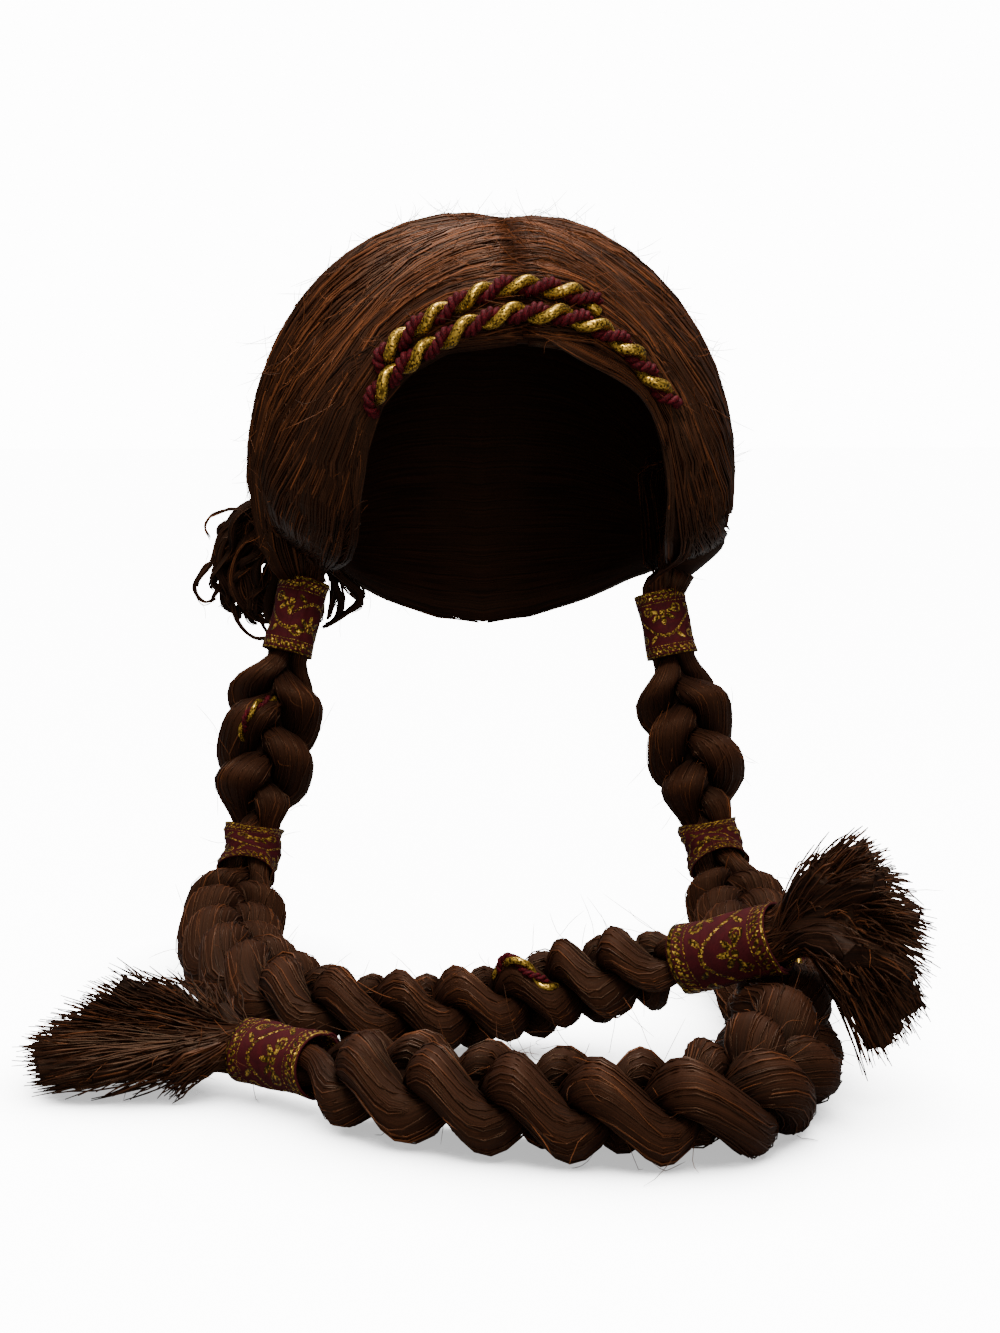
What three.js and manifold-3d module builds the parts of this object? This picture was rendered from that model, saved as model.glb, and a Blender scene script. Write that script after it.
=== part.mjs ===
// Wig with two long three-strand plaits, six brocade ribbon cuffs and two twisted cords round the forehead.
// Millimetres, +Z up, face towards -Y, the wearer's left towards +X.
// The origin is the top of the hollow, where the wig sits on the crown of the head.
import * as THREE from "three";
import { mergeVertices } from "three/addons/utils/BufferGeometryUtils.js";
import Module from "manifold-3d";

// Crown: the hollow that the head fills, and the hair round it, which thickens down the dome
const headWidth = 152;
const headDepth = 192;
const domeHeight = 100;
const napeTaper = 0.42;
const napeTaperPower = 1.3;
const topHair = 9;
const sideHair = 28;
const edgeHair = 3;
const edgeRounding = 30;
const growthRate = 1.15;
const growthPower = 1.2;
const napeDrop = 165;

// Plaits: size of one plait lying flat, and the surface that its lower part lies on
const surfaceDrop = 286;
const plaitWidth = 36;
const plaitDepth = 29;
const plaitPeriod = 72;
const plaitReach = 300;
const lyingGap = 0.5;

// Strands: sway across the plait, half width and room to the next strand as shares of the plait's width,
// weave through it and half depth as shares of its depth
const swayShare = 0.25;
const weaveShare = 0.22;
const strandWideShare = 0.29;
const strandDeepShare = 0.34;
const pressedShare = 0.075;

// Brocade cuffs, forehead cords and the thin cord that shows in the plaits
const cuffLength = 30;
const cuffWidth = 22;
const cuffWall = 1.2;
const cuffOverlap = 0.9;
const cordThickness = 8;
const cordPitch = 18;
const plaitCordThickness = 3.4;
const plyOffsetShare = 0.27;
const plyHalfShare = 0.3;
const clearance = 0.3;
const foreheadSeats = { upper: 0.3, lower: 1.3 };

// Cut ends of the plaits, and the share of a cuff that the hair in it fills
const tuftLength = 56;
const lockThickness = 15;
const bundleSwell = 1.25;
const heldShare = 0.97;

// How finely the surfaces are divided
const crownRows = 10;
const strandSides = 6;
const ringsPerPeriod = 10;
const cuffSides = 12;
const plySides = 5;
const plyRingsPerTurn = 6;
const lockSides = 5;
const lockRows = 3;
const curlRows = 8;
const gatherSides = 12;
const bundleSides = 10;
const routeSteps = 40;
const stationStep = 0.5;
const plaitCordSteps = 6;
const sliver = 0.02;

const TO_THE_RIGHT = new THREE.Vector3(-1, 0, 0);
const Z = new THREE.Vector3(0, 0, 1);
const TOWARDS_VIEWER = new THREE.Vector3(0, -1, 0);
const radians = THREE.MathUtils.degToRad;

// Edge of the crown and thickness of its hair, for one half, from the middle of the forehead to the nape.
// rim is a share of napeDrop, hair a share of sideHair, columns the divisions up to the next row.
const crownTable = [
  { azimuth: 0, rim: 0.27, hair: 0.28, columns: 3 },
  { azimuth: 24, rim: 0.285, hair: 0.28, columns: 2 },
  { azimuth: 38, rim: 0.34, hair: 0.32, columns: 1 },
  { azimuth: 46, rim: 0.41, hair: 0.42, columns: 1 },
  { azimuth: 50, rim: 0.52, hair: 0.52, columns: 1 },
  { azimuth: 53, rim: 0.64, hair: 0.62, columns: 1 },
  { azimuth: 58, rim: 0.73, hair: 0.78, columns: 1 },
  { azimuth: 65, rim: 0.78, hair: 0.94, columns: 1 },
  { azimuth: 75, rim: 0.8, hair: 1, columns: 2 },
  { azimuth: 95, rim: 0.82, hair: 1, columns: 2 },
  { azimuth: 115, rim: 0.86, hair: 0.92, columns: 2 },
  { azimuth: 138, rim: 0.93, hair: 0.76, columns: 2 },
  { azimuth: 160, rim: 0.98, hair: 0.62, columns: 1 },
  { azimuth: 180, rim: 1, hair: 0.58, columns: 0 },
];

// Hair gathered from the side of the crown into the first cuff. x is a share of the crown's half width,
// y of headDepth / 2, z of napeDrop, wide and deep are half sizes as shares of sideHair.
const gatherTables = {
  right: [
    { x: 0.88, y: 0.02, z: 0.45, wide: 0.3, deep: 1.2 },
    { x: 0.885, y: -0.05, z: 0.62, wide: 0.38, deep: 1.1 },
    { x: 0.86, y: -0.12, z: 0.74, wide: 0.38, deep: 0.78 },
    { x: 0.825, y: -0.175, z: 0.815, wide: 0.34, deep: 0.42 },
  ],
  left: [
    { x: 0.88, y: 0.02, z: 0.45, wide: 0.3, deep: 1.2 },
    { x: 0.87, y: -0.05, z: 0.62, wide: 0.36, deep: 1.1 },
    { x: 0.81, y: -0.12, z: 0.765, wide: 0.38, deep: 0.8 },
    { x: 0.68, y: -0.175, z: 0.84, wide: 0.34, deep: 0.42 },
  ],
};

// Routes of the plaits. x is a share of the crown's half width, y of plaitReach, rise the height of the
// underside above the surface as a share of surfaceDrop, over the share of the other plait that it lies on.
// size and period are shares of the full plait, twist turns its flat face, in degrees, about the route.
const routeTables = {
  right: [
    { x: -0.825, y: -0.067, rise: 0.406, over: 0, size: 1, period: 1, twist: 0, cuff: "top" },
    { x: -0.905, y: -0.09, rise: 0.294, over: 0, size: 1.04, period: 1, twist: 0 },
    { x: -0.955, y: -0.12, rise: 0.206, over: 0, size: 1.04, period: 1, twist: 0 },
    { x: -1.01, y: -0.165, rise: 0.087, over: 0, size: 1, period: 1, twist: 0, cuff: "middle" },
    { x: -1.07, y: -0.245, rise: 0.016, over: 0, size: 1.04, period: 1, twist: 0 },
    { x: -1.08, y: -0.36, rise: 0, over: 0, size: 1, period: 1, twist: 0 },
    { x: -1.0, y: -0.48, rise: 0, over: 0, size: 0.95, period: 0.95, twist: 0 },
    { x: -0.86, y: -0.57, rise: 0, over: 0, size: 0.9, period: 0.88, twist: 0 },
    { x: -0.66, y: -0.625, rise: 0, over: 0, size: 0.86, period: 0.85, twist: -10 },
    { x: -0.43, y: -0.64, rise: 0, over: 0, size: 0.86, period: 0.85, twist: -10 },
    { x: -0.2, y: -0.645, rise: 0, over: 0.1, size: 0.88, period: 0.85, twist: -10 },
    { x: 0.03, y: -0.66, rise: 0, over: 0.32, size: 0.92, period: 0.85, twist: -10 },
    { x: 0.25, y: -0.705, rise: 0, over: 0.62, size: 0.92, period: 0.85, twist: -10 },
    { x: 0.49, y: -0.765, rise: 0, over: 1.0, size: 0.9, period: 0.85, twist: -10, cuff: "end" },
  ],
  left: [
    { x: 0.647, y: -0.067, rise: 0.39, over: 0, size: 1, period: 1, twist: 0, cuff: "top" },
    { x: 0.7, y: -0.09, rise: 0.284, over: 0, size: 1, period: 1, twist: 0 },
    { x: 0.74, y: -0.12, rise: 0.201, over: 0, size: 1, period: 1, twist: 0 },
    { x: 0.79, y: -0.165, rise: 0.08, over: 0, size: 1, period: 1, twist: 0, cuff: "middle" },
    { x: 0.83, y: -0.26, rise: 0.01, over: 0, size: 1.02, period: 1, twist: 0 },
    { x: 0.8, y: -0.4, rise: 0, over: 0, size: 1, period: 1, twist: 0 },
    { x: 0.75, y: -0.54, rise: 0, over: 0, size: 1, period: 1, twist: 25 },
    { x: 0.7, y: -0.68, rise: 0, over: 0, size: 1, period: 1, twist: 60 },
    { x: 0.63, y: -0.82, rise: 0, over: 0, size: 1, period: 1, twist: 100 },
    { x: 0.49, y: -0.935, rise: 0, over: 0, size: 1, period: 1, twist: 140 },
    { x: 0.3, y: -0.995, rise: 0, over: 0, size: 0.98, period: 1, twist: 170 },
    { x: 0.08, y: -1.0, rise: 0, over: 0, size: 0.96, period: 1, twist: 180 },
    { x: -0.14, y: -0.98, rise: 0, over: 0, size: 0.95, period: 1, twist: 180 },
    { x: -0.38, y: -0.945, rise: 0, over: 0, size: 0.95, period: 1, twist: 180 },
    { x: -0.62, y: -0.89, rise: 0, over: 0, size: 0.95, period: 1, twist: 180 },
    { x: -0.9, y: -0.8, rise: 0, over: 0, size: 0.9, period: 1, twist: 180, cuff: "end" },
  ],
};

// Cuffs. length and arch, the bow of the edges, are shares of cuffLength, width is a share of cuffWidth,
// flare widens the ends and fold is the depth of the creases, as shares of the width.
const cuffTable = {
  right: {
    top: { length: 1.03, width: 0.93, flare: 0.06, fold: 0.02, arch: 0 },
    middle: { length: 0.63, width: 1.05, flare: 0.04, fold: 0.07, arch: 0.1 },
    end: { length: 1.2, width: 1, flare: 0.05, fold: 0.03, arch: 0 },
  },
  left: {
    top: { length: 0.9, width: 0.95, flare: 0.06, fold: 0.02, arch: 0 },
    middle: { length: 0.63, width: 1.09, flare: 0.04, fold: 0.06, arch: 0.1 },
    end: { length: 1, width: 0.93, flare: 0.05, fold: 0.03, arch: 0 },
  },
};

// Rows of the forehead cords, by azimuth. drop is a share of napeDrop, down the dome.
const foreheadRows = {
  upper: [
    { azimuth: -48, drop: 0.39 },
    { azimuth: -42.5, drop: 0.335 },
    { azimuth: -38, drop: 0.297 },
    { azimuth: -30, drop: 0.253 },
    { azimuth: -18.5, drop: 0.213 },
    { azimuth: -5, drop: 0.184 },
    { azimuth: 9.5, drop: 0.188 },
    { azimuth: 22.5, drop: 0.207 },
    { azimuth: 33, drop: 0.245 },
    { azimuth: 42, drop: 0.31 },
  ],
  lower: [
    { azimuth: -49, drop: 0.455 },
    { azimuth: -43, drop: 0.39 },
    { azimuth: -38, drop: 0.35 },
    { azimuth: -30, drop: 0.307 },
    { azimuth: -18, drop: 0.267 },
    { azimuth: -4, drop: 0.238 },
    { azimuth: 14, drop: 0.244 },
    { azimuth: 25.5, drop: 0.268 },
    { azimuth: 35, drop: 0.312 },
    { azimuth: 42, drop: 0.37 },
    { azimuth: 49, drop: 0.44 },
  ],
};

// Locks of the cut ends. out, up and near are where each lock ends, as shares of tuftLength, from the
// mouth of the cuff: out along the plait, up and near across it. thick is a share of lockThickness.
const tuftTables = {
  right: [
    { out: 0.26, up: 0.4, near: 0.05, droop: 0.1, thick: 0.9 },
    { out: 0.46, up: 0.5, near: -0.15, droop: 0.12, thick: 1 },
    { out: 0.62, up: 0.36, near: 0.1, droop: 0.14, thick: 1 },
    { out: 0.74, up: 0.12, near: -0.1, droop: 0.2, thick: 1 },
    { out: 0.78, up: -0.12, near: 0.12, droop: 0.2, thick: 1 },
    { out: 0.74, up: -0.36, near: -0.05, droop: 0.3, thick: 1 },
    { out: 0.62, up: -0.52, near: 0.1, droop: 0.4, thick: 1 },
    { out: 0.55, up: 0, near: 0.3, droop: 0.1, thick: 1 },
    { out: 0.55, up: 0, near: -0.35, droop: 0.1, thick: 1 },
  ],
  left: [
    { out: 0.34, up: 0.22, near: -0.08, droop: 0, thick: 0.9 },
    { out: 0.8, up: 0.22, near: -0.05, droop: 0, thick: 1 },
    { out: 1.1, up: 0.22, near: 0, droop: 0.02, thick: 1 },
    { out: 1.3, up: 0.05, near: 0.1, droop: 0.04, thick: 1 },
    { out: 1.38, up: -0.08, near: 0.3, droop: 0.04, thick: 1 },
    { out: 1.2, up: -0.1, near: 0.65, droop: 0.02, thick: 1 },
    { out: 0.95, up: -0.1, near: 0.85, droop: 0.02, thick: 1 },
    { out: 0.65, up: -0.1, near: 0.7, droop: 0.02, thick: 1 },
    { out: 0.35, up: -0.08, near: 0.36, droop: 0, thick: 0.9 },
  ],
};

// Loose curls behind the wearer's right gather. x is a share of the crown's half width, y of
// headDepth / 2, z of napeDrop, thick the half thickness as a share of sideHair.
const curlTables = [
  [
    { x: -0.86, y: 0.38, z: 0.6, thick: 0.16 },
    { x: -1.08, y: 0.4, z: 0.655, thick: 0.2 },
    { x: -1.2, y: 0.42, z: 0.77, thick: 0.2 },
    { x: -1.17, y: 0.43, z: 0.88, thick: 0.17 },
    { x: -1.06, y: 0.42, z: 0.915, thick: 0.12 },
  ],
  [
    { x: -0.84, y: 0.36, z: 0.7, thick: 0.16 },
    { x: -1.0, y: 0.38, z: 0.76, thick: 0.17 },
    { x: -1.05, y: 0.4, z: 0.88, thick: 0.17 },
    { x: -0.99, y: 0.42, z: 0.97, thick: 0.13 },
    { x: -0.9, y: 0.42, z: 0.95, thick: 0.09 },
  ],
];

// Short lengths of cord that show on the plaits. from and to are turns of the plait from its start,
// face the side of the strand that carries the cord, in degrees from the plait's wide direction, and
// seat the room under it, in cord thicknesses, less where the strand's flat faces fall away from its round.
const plaitCordTable = {
  right_plait_cord_high: { side: "right", strand: 0, from: 0.52, to: 0.74, face: 100, seat: 0.12 },
  right_plait_cord_low: { side: "right", strand: 0, from: 4.58, to: 4.86, face: 145, seat: 0.27 },
  left_plait_cord: { side: "left", strand: 2, from: 3.42, to: 3.75, face: 20, seat: -0.06 },
};

const wasm = await Module();
wasm.setup();

// A geometry as a solid that can be joined and cut
function toSolid(geometry) {
  const bare = geometry.clone();
  bare.deleteAttribute("normal");
  bare.deleteAttribute("uv");
  const merged = mergeVertices(bare, 1e-4);
  return new wasm.Manifold(
    new wasm.Mesh({
      numProp: 3,
      vertProperties: new Float32Array(merged.attributes.position.array),
      triVerts: new Uint32Array(merged.index.array),
    }),
  );
}

// A solid as a geometry again, without the slivers that a join leaves
function toGeometry(solid) {
  const mesh = solid.simplify(sliver).getMesh();
  const geometry = new THREE.BufferGeometry();
  geometry.setAttribute("position", new THREE.BufferAttribute(mesh.vertProperties, mesh.numProp));
  geometry.setIndex(new THREE.BufferAttribute(mesh.triVerts, 1));
  return geometry;
}

// Several overlapping geometries as one fused solid
function fuse(geometries) {
  return geometries.map(toSolid).reduce((whole, piece) => whole.add(piece));
}

// The largest body of a solid, which drops the chips that a cut leaves
function mainBody(solid) {
  return solid.decompose().sort((a, b) => b.volume() - a.volume())[0];
}

function geometryFrom(points, triangles) {
  const geometry = new THREE.BufferGeometry().setFromPoints(points);
  geometry.setIndex(triangles);
  return geometry;
}

// A closed body through rings of points, with a flat cap on each end. Rings run anticlockwise seen
// from the end that the body runs towards.
function loft(rings) {
  const sides = rings[0].length;
  const points = rings.flat();
  const triangles = [];
  for (let ring = 0; ring < rings.length - 1; ring++) {
    for (let side = 0; side < sides; side++) {
      const a = ring * sides + side;
      const b = ring * sides + ((side + 1) % sides);
      triangles.push(a, b, b + sides, a, b + sides, a + sides);
    }
  }
  const last = (rings.length - 1) * sides;
  for (let side = 1; side < sides - 1; side++) {
    triangles.push(0, side + 1, side);
    triangles.push(last, last + side, last + side + 1);
  }
  return geometryFrom(points, triangles);
}

// A closed tube wall between outer and inner rings, open at both ends
function sleeve(outerRings, innerRings) {
  const sides = outerRings[0].length;
  const loop = [...outerRings, ...innerRings.toReversed()];
  const points = loop.flat();
  const triangles = [];
  for (let ring = 0; ring < loop.length; ring++) {
    const next = (ring + 1) % loop.length;
    for (let side = 0; side < sides; side++) {
      const a = ring * sides + side;
      const b = ring * sides + ((side + 1) % sides);
      const c = next * sides + ((side + 1) % sides);
      const d = next * sides + side;
      triangles.push(a, b, c, a, c, d);
    }
  }
  return geometryFrom(points, triangles);
}

function ellipseRing(centre, across, along, halfAcross, halfAlong, sides) {
  const ring = [];
  for (let side = 0; side < sides; side++) {
    const angle = (2 * Math.PI * side) / sides;
    ring.push(
      centre
        .clone()
        .addScaledVector(across, halfAcross * Math.cos(angle))
        .addScaledVector(along, halfAlong * Math.sin(angle)),
    );
  }
  return ring;
}

// The value of one column of a table, between the rows round a place in another column
function lookUp(table, column, place, value) {
  const above = table.findIndex((row) => row[column] >= place);
  if (above === 0) return table[0][value];
  if (above < 0) return table[table.length - 1][value];
  const [low, high] = [table[above - 1], table[above]];
  const share = (place - low[column]) / (high[column] - low[column]);
  return low[value] + (high[value] - low[value]) * share;
}

// Crown
const crownHalfWidth = headWidth / 2 + sideHair;

// The angle down the dome at a drop, and the drop at that angle
function angleAt(drop) {
  if (drop <= domeHeight) return Math.acos(1 - drop / domeHeight);
  return Math.PI / 2 + (drop - domeHeight) / domeHeight;
}

function dropAt(angle) {
  if (angle <= Math.PI / 2) return domeHeight * (1 - Math.cos(angle));
  return domeHeight * (1 + angle - Math.PI / 2);
}

// A point of the head, at an azimuth from the forehead and an angle down the dome, moved out by lift
function headPoint(azimuth, angle, lift) {
  const turn = radians(azimuth);
  const below = Math.max(0, angle - Math.PI / 2);
  const spread = angle <= Math.PI / 2 ? Math.sin(angle) : 1 - napeTaper * below ** napeTaperPower;
  const point = new THREE.Vector3(
    (headWidth / 2) * Math.sin(turn) * spread,
    (-headDepth / 2) * Math.cos(turn) * spread,
    -dropAt(angle),
  );
  const normal = new THREE.Vector3(
    (Math.sin(turn) * Math.sin(Math.min(angle, Math.PI / 2))) / headWidth,
    (-Math.cos(turn) * Math.sin(Math.min(angle, Math.PI / 2))) / headDepth,
    Math.max(0, Math.cos(angle)) / (2 * domeHeight),
  ).normalize();
  return point.addScaledVector(normal, lift);
}

// Thickness of the crown's hair, which grows from the top to the sides and rounds in at the free edge
function crownHair(azimuth, angle) {
  const side = Math.abs(azimuth);
  const rim = lookUp(crownTable, "azimuth", side, "rim") * napeDrop;
  const full = lookUp(crownTable, "azimuth", side, "hair") * sideHair;
  const growth = Math.sin(Math.min(angle * growthRate, Math.PI / 2)) ** growthPower;
  const bare = topHair + (full - topHair) * growth;
  const fromEdge = Math.max(0, (angleAt(rim) - angle) * domeHeight);
  const rounding = Math.sqrt(1 - (1 - Math.min(fromEdge / edgeRounding, 1)) ** 2);
  return edgeHair + (bare - edgeHair) * rounding;
}

function crownAzimuths() {
  const half = [];
  for (let row = 0; row < crownTable.length - 1; row++) {
    const { azimuth, columns } = crownTable[row];
    const step = (crownTable[row + 1].azimuth - azimuth) / columns;
    for (let column = 0; column < columns; column++) half.push(azimuth + step * column);
  }
  return [...half, 180, ...half.slice(1).reverse().map((azimuth) => -azimuth)];
}

function crownShell() {
  const azimuths = crownAzimuths();
  const columns = azimuths.length;
  const rowsOf = (lifted) => {
    const points = [new THREE.Vector3(0, 0, lifted ? topHair : 0)];
    for (let row = 1; row <= crownRows; row++) {
      for (const azimuth of azimuths) {
        const rim = lookUp(crownTable, "azimuth", Math.abs(azimuth), "rim") * napeDrop;
        const angle = (angleAt(rim) * row) / crownRows;
        points.push(headPoint(azimuth, angle, lifted ? crownHair(azimuth, angle) : 0));
      }
    }
    return points;
  };
  const outer = rowsOf(true);
  const points = [...outer, ...rowsOf(false)];
  const triangles = [];
  const at = (inner, row, column) =>
    (inner ? outer.length : 0) + (row === 0 ? 0 : 1 + (row - 1) * columns + (column % columns));
  for (const inner of [false, true]) {
    for (let row = 0; row < crownRows; row++) {
      for (let column = 0; column < columns; column++) {
        const a = at(inner, row, column);
        const b = at(inner, row, column + 1);
        const c = at(inner, row + 1, column + 1);
        const d = at(inner, row + 1, column);
        const faces = row === 0 ? [[a, d, c]] : [[a, d, c], [a, c, b]];
        for (const face of faces) triangles.push(...(inner ? face.reverse() : face));
      }
    }
  }
  for (let column = 0; column < columns; column++) {
    const a = at(false, crownRows, column);
    const b = at(false, crownRows, column + 1);
    const c = at(true, crownRows, column + 1);
    const d = at(true, crownRows, column);
    triangles.push(a, d, c, a, c, b);
  }
  return geometryFrom(points, triangles);
}

// Plaits
const plaitHalfWide = plaitWidth * (swayShare + strandWideShare);
const plaitHalfDeep = plaitDepth * (weaveShare + strandDeepShare);

// A route through its table's rows, with the frame at any distance along it. halves holds the plait's
// half height at each row, which depends on how its flat face is turned there.
function routeThrough(table, halves) {
  const points = table.map((row, index) => {
    const rest = row.rise * surfaceDrop + row.over * plaitDepth + lyingGap;
    const height = rest + halves[index];
    return new THREE.Vector3(row.x * crownHalfWidth, row.y * plaitReach, height - surfaceDrop);
  });
  const curve = new THREE.CatmullRomCurve3(points, false, "centripetal");
  const steps = routeSteps * (points.length - 1);
  curve.arcLengthDivisions = steps;
  const lengths = curve.getLengths(steps);
  const rows = table.map((row, index) => ({ ...row, distance: lengths[index * routeSteps] }));
  const length = lengths[steps];
  const frames = [];
  let face = TOWARDS_VIEWER.clone();
  for (let step = 0; step <= steps; step++) {
    const tangent = curve.getTangentAt(step / steps);
    face = face.clone().addScaledVector(tangent, -face.dot(tangent)).normalize();
    frames.push({ tangent, face });
  }
  const at = (distance) => {
    const share = THREE.MathUtils.clamp(distance / length, 0, 1);
    const { tangent, face: bare } = frames[Math.round(share * steps)];
    const beyond = distance - share * length;
    const point = curve.getPointAt(share).addScaledVector(tangent, beyond);
    const twist = radians(lookUp(rows, "distance", distance, "twist"));
    const across = bare.clone().applyAxisAngle(tangent, twist);
    const wide = new THREE.Vector3().crossVectors(across, tangent).normalize();
    return { point, tangent, wide, across };
  };
  const column = (name, distance) => lookUp(rows, "distance", distance, name);
  return { rows, length, at, column };
}

function makeRoute(table) {
  const flat = table.map((row) => row.size * plaitHalfDeep);
  const first = routeThrough(table, flat);
  const turned = first.rows.map((row) => {
    const { wide, across, tangent } = first.at(row.distance);
    const halfWide = plaitHalfWide * wide.z;
    const halfDeep = plaitHalfDeep * Math.hypot(across.z, tangent.z);
    return row.size * Math.hypot(halfWide, halfDeep);
  });
  return routeThrough(table, turned);
}

const routes = { right: makeRoute(routeTables.right), left: makeRoute(routeTables.left) };

// The cuffs of one plait with the distance of each cuff's middle
function cuffsOf(side) {
  return routes[side].rows
    .filter((row) => row.cuff)
    .map((row) => {
      const { length, width, arch, ...creases } = cuffTable[side][row.cuff];
      const sizes = { length: length * cuffLength, width: width * cuffWidth, arch: arch * cuffLength };
      return { ...creases, ...sizes, name: row.cuff, distance: row.distance };
    });
}

function boreOf(cuff) {
  return cuff.width / 2 - cuffWall - cuff.fold * (cuff.width / 2);
}

// Share of its full size that a plait keeps at a distance, drawn in where a cuff holds it
function pinch(side, distance) {
  let share = routes[side].column("size", distance);
  for (const cuff of cuffsOf(side)) {
    const held = (boreOf(cuff) - 2 * clearance) / plaitHalfWide;
    const outside = Math.max(0, Math.abs(distance - cuff.distance) - cuff.length / 2 - 1);
    const ease = THREE.MathUtils.smoothstep(outside, 0, plaitWidth / 2);
    share = Math.min(share, held + (share - held) * ease);
  }
  return share;
}

const sway = plaitWidth * swayShare;
const weave = plaitDepth * weaveShare;

// Room between two strands at a ring, which the flat faces between the rings partly take up
const pressedGap = plaitWidth * pressedShare;

// Distances of the rings along a plait, one for each equal part of a turn, with the turn at each
function plaitStations(side, perTurn) {
  const route = routes[side];
  const stations = [];
  let turns = 0;
  let next = 0;
  for (let distance = 0; distance < route.length; distance += stationStep) {
    if (turns >= next) {
      stations.push({ distance, turns });
      next += 1 / perTurn;
    }
    turns += stationStep / (plaitPeriod * route.column("period", distance));
  }
  stations.push({ distance: route.length, turns });
  return stations;
}

// Centres of the three strands across the plait, at a turn and a size
function strandCentres(turns, size) {
  return [0, 1, 2].map((strand) => {
    const phase = 2 * Math.PI * (turns + strand / 3);
    return new THREE.Vector2(sway * Math.sin(phase), weave * Math.sin(2 * phase)).multiplyScalar(size);
  });
}

// How far a strand reaches from its centre in one direction: an oval, pressed flat by the other two,
// wherever they lie between the ring before and the ring after
function strandReach(turns, strand, direction, size) {
  const halfWide = plaitWidth * strandWideShare * size;
  const halfDeep = plaitDepth * strandDeepShare * size;
  let reach = 1 / Math.hypot(direction.x / halfWide, direction.y / halfDeep);
  for (const ahead of [-0.5, 0, 0.5]) {
    const centres = strandCentres(turns + ahead / ringsPerPeriod, size);
    for (const other of [1, 2]) {
      const apart = centres[(strand + other) % 3].clone().sub(centres[strand]);
      const towards = direction.dot(apart) / apart.length();
      if (towards > 0) reach = Math.min(reach, (apart.length() - pressedGap) / 2 / towards);
    }
  }
  return reach;
}

function strandPoint(side, station, strand, angle, extra) {
  const size = pinch(side, station.distance);
  const frame = routes[side].at(station.distance);
  const centres = strandCentres(station.turns, size);
  const direction = new THREE.Vector2(Math.cos(angle), Math.sin(angle));
  const reach = strandReach(station.turns, strand, direction, size) + extra;
  const place = centres[strand].clone().addScaledVector(direction, reach);
  return frame.point.clone().addScaledVector(frame.wide, place.x).addScaledVector(frame.across, place.y);
}

function strandGeometry(side, strand) {
  const rings = plaitStations(side, ringsPerPeriod).map((station) => {
    const ring = [];
    for (let corner = 0; corner < strandSides; corner++) {
      ring.push(strandPoint(side, station, strand, (2 * Math.PI * corner) / strandSides, 0));
    }
    return ring;
  });
  return loft(rings);
}

// A short cord that lies on one strand, in the groove beside the next
function plaitCordGeometry({ side, strand, from, to, face, seat }) {
  const points = plaitStations(side, 4 * ringsPerPeriod)
    .filter(({ turns }) => turns >= from && turns <= to)
    .map((station) => {
      const lift = plaitCordThickness * (0.5 + seat);
      return strandPoint(side, station, strand, radians(face), lift);
    });
  return roundTube(new THREE.CatmullRomCurve3(points), plaitCordThickness / 2, plaitCordSteps);
}

function roundTube(curve, radius, steps) {
  const section = new THREE.Shape();
  for (let corner = 0; corner < lockSides; corner++) {
    const angle = (2 * Math.PI * corner) / lockSides;
    const [x, y] = [radius * Math.cos(angle), radius * Math.sin(angle)];
    if (corner === 0) section.moveTo(x, y);
    else section.lineTo(x, y);
  }
  section.closePath();
  return new THREE.ExtrudeGeometry(section, { steps, extrudePath: curve, bevelEnabled: false });
}

// Cuffs: a ribbon wrapped round the plait, its end lapped over its start
function cuffGeometry(side, cuff) {
  const rows = [-0.5, -0.2, 0.2, 0.5];
  const ringsAt = (lift) =>
    rows.map((row) => {
      const ring = [];
      for (let corner = 0; corner < cuffSides; corner++) {
        const angle = (2 * Math.PI * corner) / cuffSides;
        const bow = cuff.arch * Math.cos(2 * angle) * row;
        const frame = routes[side].at(cuff.distance + row * cuff.length + bow);
        const crease = cuff.fold * Math.cos(3 * angle + 9 * row);
        const swell = 1 + cuff.flare * (2 * Math.abs(row)) ** 2 + crease;
        const lapped = lift > 0 && corner > 0 && corner < cuffSides / 4 ? cuffOverlap : 0;
        const radius = (cuff.width / 2 - cuffWall) * swell + lift + lapped;
        ring.push(
          frame.point
            .clone()
            .addScaledVector(frame.wide, radius * Math.cos(angle))
            .addScaledVector(frame.across, radius * Math.sin(angle)),
        );
      }
      return ring;
    });
  return sleeve(ringsAt(cuffWall), ringsAt(0));
}

// Gathers: hair drawn from the side of the crown into the first cuff
function gatherGeometry(side) {
  const sign = side === "right" ? -1 : 1;
  const [cuff] = cuffsOf(side);
  const held = (boreOf(cuff) - clearance) * heldShare;
  const start = routes[side].at(0);
  const rings = gatherTables[side].map((row) => {
    const centre = new THREE.Vector3(
      sign * row.x * crownHalfWidth,
      (row.y * headDepth) / 2,
      -row.z * napeDrop,
    );
    const deep = row.deep * sideHair;
    const wide = row.wide * sideHair;
    return ellipseRing(centre, TOWARDS_VIEWER, TO_THE_RIGHT, deep, wide, gatherSides);
  });
  for (const distance of [-cuff.length / 2 - 1, -clearance]) {
    const { point } = routes[side].at(distance);
    rings.push(ellipseRing(point, start.across, start.wide.clone().negate(), held, held, gatherSides));
  }
  return loft(rings);
}

// A tapering lock of hair along a curve
function lockGeometry(curve, thicknessAt, rows) {
  const rings = [];
  for (let row = 0; row <= rows; row++) {
    const share = row / rows;
    const tangent = curve.getTangentAt(share);
    const across = new THREE.Vector3().crossVectors(tangent, TOWARDS_VIEWER).normalize();
    const along = new THREE.Vector3().crossVectors(tangent, across);
    const half = thicknessAt(share);
    rings.push(ellipseRing(curve.getPointAt(share), across, along, half, half, lockSides));
  }
  return loft(rings);
}

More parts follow.
